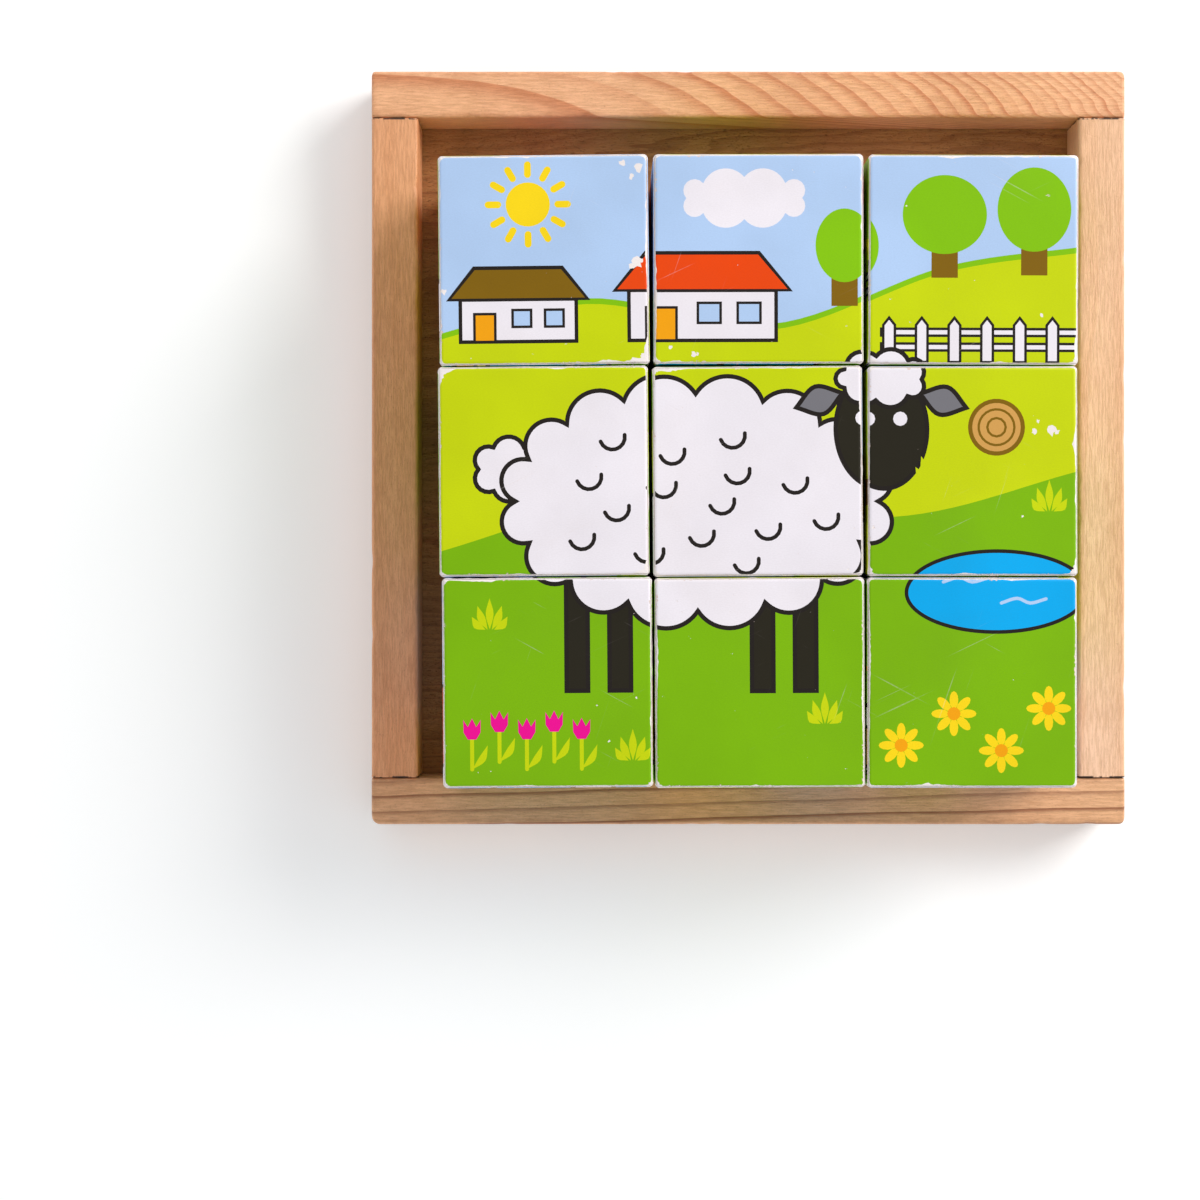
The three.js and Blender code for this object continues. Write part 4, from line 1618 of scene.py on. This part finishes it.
class PUZZLE_OT_build_rails(bpy.types.Operator):
    """Build the four rails of the tray, hand sanded, dented and drilled for their brads"""

    bl_idname = "puzzle.build_rails"
    bl_label = "Build Rails"

    def execute(self, context):
        tray = context.scene.puzzle_tray
        tool = new_object("brad_holes", brad_holes(tray))
        joint = tray.foot_radius * 0.5
        radii = {
            "back_rail": ((joint, tray.corner_back_left), (joint, tray.corner_back_right)),
            "front_rail": ((tray.corner_front_left, joint), (tray.corner_front_right, joint)),
            "left_rail": ((joint, joint), (joint, joint)),
            "right_rail": ((joint, joint), (joint, joint)),
        }
        for number, name in enumerate(RAILS):
            low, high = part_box(name)
            across = name in ("left_rail", "right_rail")
            turn = Matrix.Rotation(math.radians(90), 4, "Z") if across else Matrix.Identity(4)
            if across:
                corners = [turn.inverted() @ low, turn.inverted() @ high]
                low = Vector([min(c[axis] for c in corners) for axis in range(3)])
                high = Vector([max(c[axis] for c in corners) for axis in range(3)])
            mesh = rail_mesh(name, low, high, radii[name], tray, 20 + number)
            mesh.transform(turn)
            rail = new_object(f"{name}_sanded", mesh)
            cut = rail.modifiers.new("brad_holes", "BOOLEAN")
            cut.object = tool
            cut.operation = "DIFFERENCE"
            cut.solver = "EXACT"
            mesh = finished_mesh(rail, rail.name)
            smooth_with_creases(mesh)
            side = name.split("_")[0]
            wood = wood_material(
                f"{side}_rail_wood",
                list(getattr(tray, f"{side}_early")),
                list(getattr(tray, f"{side}_late")),
                turn=math.radians(-90) if across else 0.0,
                edge="edge",
                glued_end=(high.x - low.x) / 2 if across else None,
                **dict(zip(GRAIN_INPUTS, RAIL_GRAIN[name])),
            )
            mesh.materials.clear()
            mesh.materials.append(wood)
            require(len(mesh.polygons) > 1000, name)
            piece_on(rail, TRAY_BODY, "rail_wood", name)
        bpy.data.objects.remove(tool)
        return {"FINISHED"}


class PUZZLE_OT_finish_panel(bpy.types.Operator):
    """Give the base panel its plywood"""

    bl_idname = "puzzle.finish_panel"
    bl_label = "Finish Base Panel"

    def execute(self, context):
        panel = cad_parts["base_panel"]
        plywood = panel_material(context.scene.puzzle_tray)
        for slot in panel.material_slots:
            slot.material = plywood
        return {"FINISHED"}


class PUZZLE_OT_drive_brads(bpy.types.Operator):
    """Drive the brads through the corners and up through the base panel"""

    bl_idname = "puzzle.drive_brads"
    bl_label = "Drive Brads"

    def execute(self, context):
        steel = steel_material()
        tree = brad_row_tree()
        for group in ("corner", "base"):
            places = [place for place in brad_places() if f"_{group}_brad" in place[0]]
            require(places, f"{group} brads")
            points = bpy.data.meshes.new(f"{group}_brad_points")
            points.from_pydata([tuple(head) for _, head, _, _ in places], [], [])
            headings = points.attributes.new("heading", "FLOAT_VECTOR", "POINT")
            headings.data.foreach_set("vector", [c for _, _, heading, _ in places for c in heading])
            inputs = {"Length": places[0][3], "Material": steel}
            brads = run_tree(f"{group}_brads", tree, inputs, points)
            smooth_with_creases(brads.data)
            piece_on(brads, TRAY_BODY, "brad_steel", *(place[0] for place in places))
        return {"FINISHED"}


class PUZZLE_OT_shape_cores(bpy.types.Operator):
    """Shape the nine wooden cores, each with its softly rounded edges"""

    bl_idname = "puzzle.shape_cores"
    bl_label = "Shape Cores"

    def execute(self, context):
        cubes = context.scene.puzzle_cubes
        tree = rounded_block_tree()
        for number, name in enumerate(CUBES):
            centre, turn = cube_place(name)
            wood = wood_material(
                f"{name}_wood", list(cubes.core_early), list(cubes.core_late),
                centre=centre, turn=-turn + math.pi / 2 * (number % 2),
                Pith=(0, 9.0 - 4 * number, -24.0 + 3 * number), Spacing=2.6, Reference=20.0,
                Crowding=1.0, Wander=1.0, Rise=0.3, Seed=20.0 + number,
            )
            inputs = {
                "Half Side": cubes.core_half,
                "Edge Radius": cubes.edge_radius,
                "Centre": centre,
                "Turn": turn,
                "Material": wood,
            }
            core = run_tree(f"{name}_block", tree, inputs)
            require(len(core.data.polygons) > 100, name)
            piece_on(core, name, "cube_wood", f"{name}_core")
        return {"FINISHED"}


class PUZZLE_OT_glue_labels(bpy.types.Operator):
    """Print the six pictures and glue a label on every face of every cube"""

    bl_idname = "puzzle.glue_labels"
    bl_label = "Glue Labels"

    def execute(self, context):
        cubes = context.scene.puzzle_cubes
        pots = context.scene.puzzle_inks
        inks = {name: tuple(getattr(pots, name)) for name in InkSettings.__annotations__}
        paper = label_material(cubes)
        cells = [(column, row) for row in range(3) for column in range(3)]
        top_picture = sheep_in_meadow()
        shuffle = random.Random(5)
        hidden = {}
        for face, make in HIDDEN_PICTURES.items():
            hidden[face] = (make(), shuffle.sample(cells, len(cells)))
        for number, name in enumerate(CUBES):
            centre, turn = cube_place(name)
            spin = Matrix.Rotation(turn, 3, "Z")
            for face, sides in FACES.items():
                rng = random.Random(f"{name}_{face}")

                def place(point, axes=spin @ Matrix(sides).transposed(), middle=centre):
                    return middle + axes @ point * MM

                if face == "top":
                    drawing, cell, quarters = top_picture, cells[number], 0
                else:
                    drawing, order = hidden[face]
                    cell, quarters = order[number], rng.choice((0, 0, 1, 2, 3))
                layers = cell_layers(drawing, cell, quarters)
                bites, scars = wear_of(name, face, rng)
                mesh = label_mesh(f"{name}_{face}", layers, place, cubes, inks, rng, bites, scars)
                sheet = new_object(f"{name}_{face}_print", mesh, paper)
                band = face if face in ("top", "bottom") else "side"
                node = f"{name}_{band}_label" + ("s" if band == "side" else "")
                piece_on(sheet, name, "printed_paper", node)
        return {"FINISHED"}


def patch(x, y, size, rng):
    """A ragged patch where the print is gone."""
    points = oval(x, y, 1.0, sides=9) - (x, y)
    reach = [size * rng.uniform(0.45, 1.2) for _ in points]
    return points * np.array(reach)[:, None] + (x, y)


def scratch(x, y, turn, length, rng):
    """A narrow torn scratch."""
    tip = (x + length * math.cos(turn), y + length * math.sin(turn))
    return blade((x, y), tip, length * 0.14, rng.uniform(-0.2, 0.2))


RUBBED_EDGE = 19.5  # mm from a label's middle to where its ink wears off
KNOWN_WEAR = {  # of the top labels: bites at the edge, then patches, in mm from the label's middle
    "back_left_cube": (
        ((19.3, -19.3, 4.4, 1.3), (12.5, -19.6, 3.0, 0.7), (19.4, 2, 6, 0.35)),
        ((17.6, -0.8, 1.3), (16.6, -1.2, 0.7), (18.4, -0.3, 0.5), (-19.0, -5.9, 0.7),
         (18.2, 17.2, 0.9), (15.2, 18.2, 0.7), (16.8, 15.6, 0.6)),
    ),
    "back_middle_cube": (
        ((-19.4, -8, 8, 0.35),),
        ((-12.4, -18.2, 0.6), (-11.6, -18.0, 0.4), (-16.8, -16.8, 0.5)),
    ),
    "centre_left_cube": (((-19.0, 19.2, 2.6, 1.1), (19.5, -19.3, 2.6, 0.8)), ()),
    "centre_right_cube": (
        ((19.4, 5.4, 3.0, 0.8), (19.4, -18.6, 2.4, 0.6)),
        ((14.9, 7.6, 1.0), (16.0, 7.3, 0.6), (11.6, 7.4, 0.6), (12.4, 9.4, 0.4), (9.4, -8.6, 0.3)),
    ),
    "centre_middle_cube": (((-17.0, 19.4, 4.0, 0.7),), ()),
    "back_right_cube": (((-4.0, 19.4, 3.0, 0.5), (19.4, -17, 3, 0.5)), ((12.9, -10.6, 0.45),)),
    "front_middle_cube": (((19.4, -4, 9, 0.35), (-19.4, 4, 9, 0.35)), ()),
    "front_right_cube": (((-19.4, 4, 12, 0.4), (-8, -19.4, 5, 0.4)), ()),
    "front_left_cube": (((-14, 19.4, 5, 0.4),), ((11.6, -11.2, 0.3),)),
}


def wear_of(name, face, rng):
    """Bites out of the ink's edge, and patches and scratches in the print, of one label."""
    bites = [
        (*rng.choice(((side, rng.uniform(-19, 19)), (rng.uniform(-19, 19), side))),
         rng.uniform(0.6, 2.4), rng.uniform(0.1, 0.4))
        for side in (-RUBBED_EDGE, RUBBED_EDGE, -RUBBED_EDGE, RUBBED_EDGE, RUBBED_EDGE)
    ]
    for x in (-RUBBED_EDGE, RUBBED_EDGE):
        for y in (-RUBBED_EDGE, RUBBED_EDGE):
            bites.append((x, y, rng.uniform(0.5, 1.2), rng.uniform(0.1, 0.45)))
    if face == "top":
        known_bites, known_patches = KNOWN_WEAR[name]
        return [*bites, *known_bites], [patch(*mark, rng) for mark in known_patches]
    scars = [
        patch(rng.uniform(-18, 18), rng.uniform(-18, 18), rng.uniform(0.2, 0.7), rng)
        for _ in range(3)
    ]
    for _ in range(2):
        spot = rng.uniform(-16, 16), rng.uniform(-16, 16)
        scars.append(scratch(*spot, rng.uniform(0, 6.3), rng.uniform(1, 4), rng))
    return bites, scars


# Add-on --------------------------------------------------------------------------------------------

STEPS = (
    PUZZLE_OT_lay_stage,
    PUZZLE_OT_build_rails,
    PUZZLE_OT_finish_panel,
    PUZZLE_OT_drive_brads,
    PUZZLE_OT_shape_cores,
    PUZZLE_OT_glue_labels,
)


class PUZZLE_PT_build(bpy.types.Panel):
    """The steps that build the puzzle, and its settings"""

    bl_label = "Picture Cube Puzzle"
    bl_idname = "PUZZLE_PT_build"
    bl_space_type = "VIEW_3D"
    bl_region_type = "UI"
    bl_category = "Puzzle"

    def draw(self, context):
        steps = self.layout.column(align=True)
        for step in STEPS:
            steps.operator(step.bl_idname)
        for name, kind in SETTINGS.items():
            group = self.layout.box()
            group.label(text=kind.__name__.replace("Settings", ""))
            for entry in kind.__annotations__:
                group.prop(getattr(context.scene, name), entry)


def register():
    for kind in (*SETTINGS.values(), *STEPS, PUZZLE_PT_build):
        bpy.utils.register_class(kind)
    for name, kind in SETTINGS.items():
        setattr(bpy.types.Scene, name, PointerProperty(type=kind))


def unregister():
    for name in SETTINGS:
        delattr(bpy.types.Scene, name)
    for kind in reversed((*SETTINGS.values(), *STEPS, PUZZLE_PT_build)):
        bpy.utils.unregister_class(kind)


def main():
    register()
    bpy.ops.puzzle.lay_stage()
    bpy.ops.puzzle.build_rails()
    bpy.ops.puzzle.finish_panel()
    bpy.ops.puzzle.drive_brads()
    bpy.ops.puzzle.shape_cores()
    bpy.ops.puzzle.glue_labels()
    bpy.context.view_layer.update()


if __name__ == "__main__":
    main()
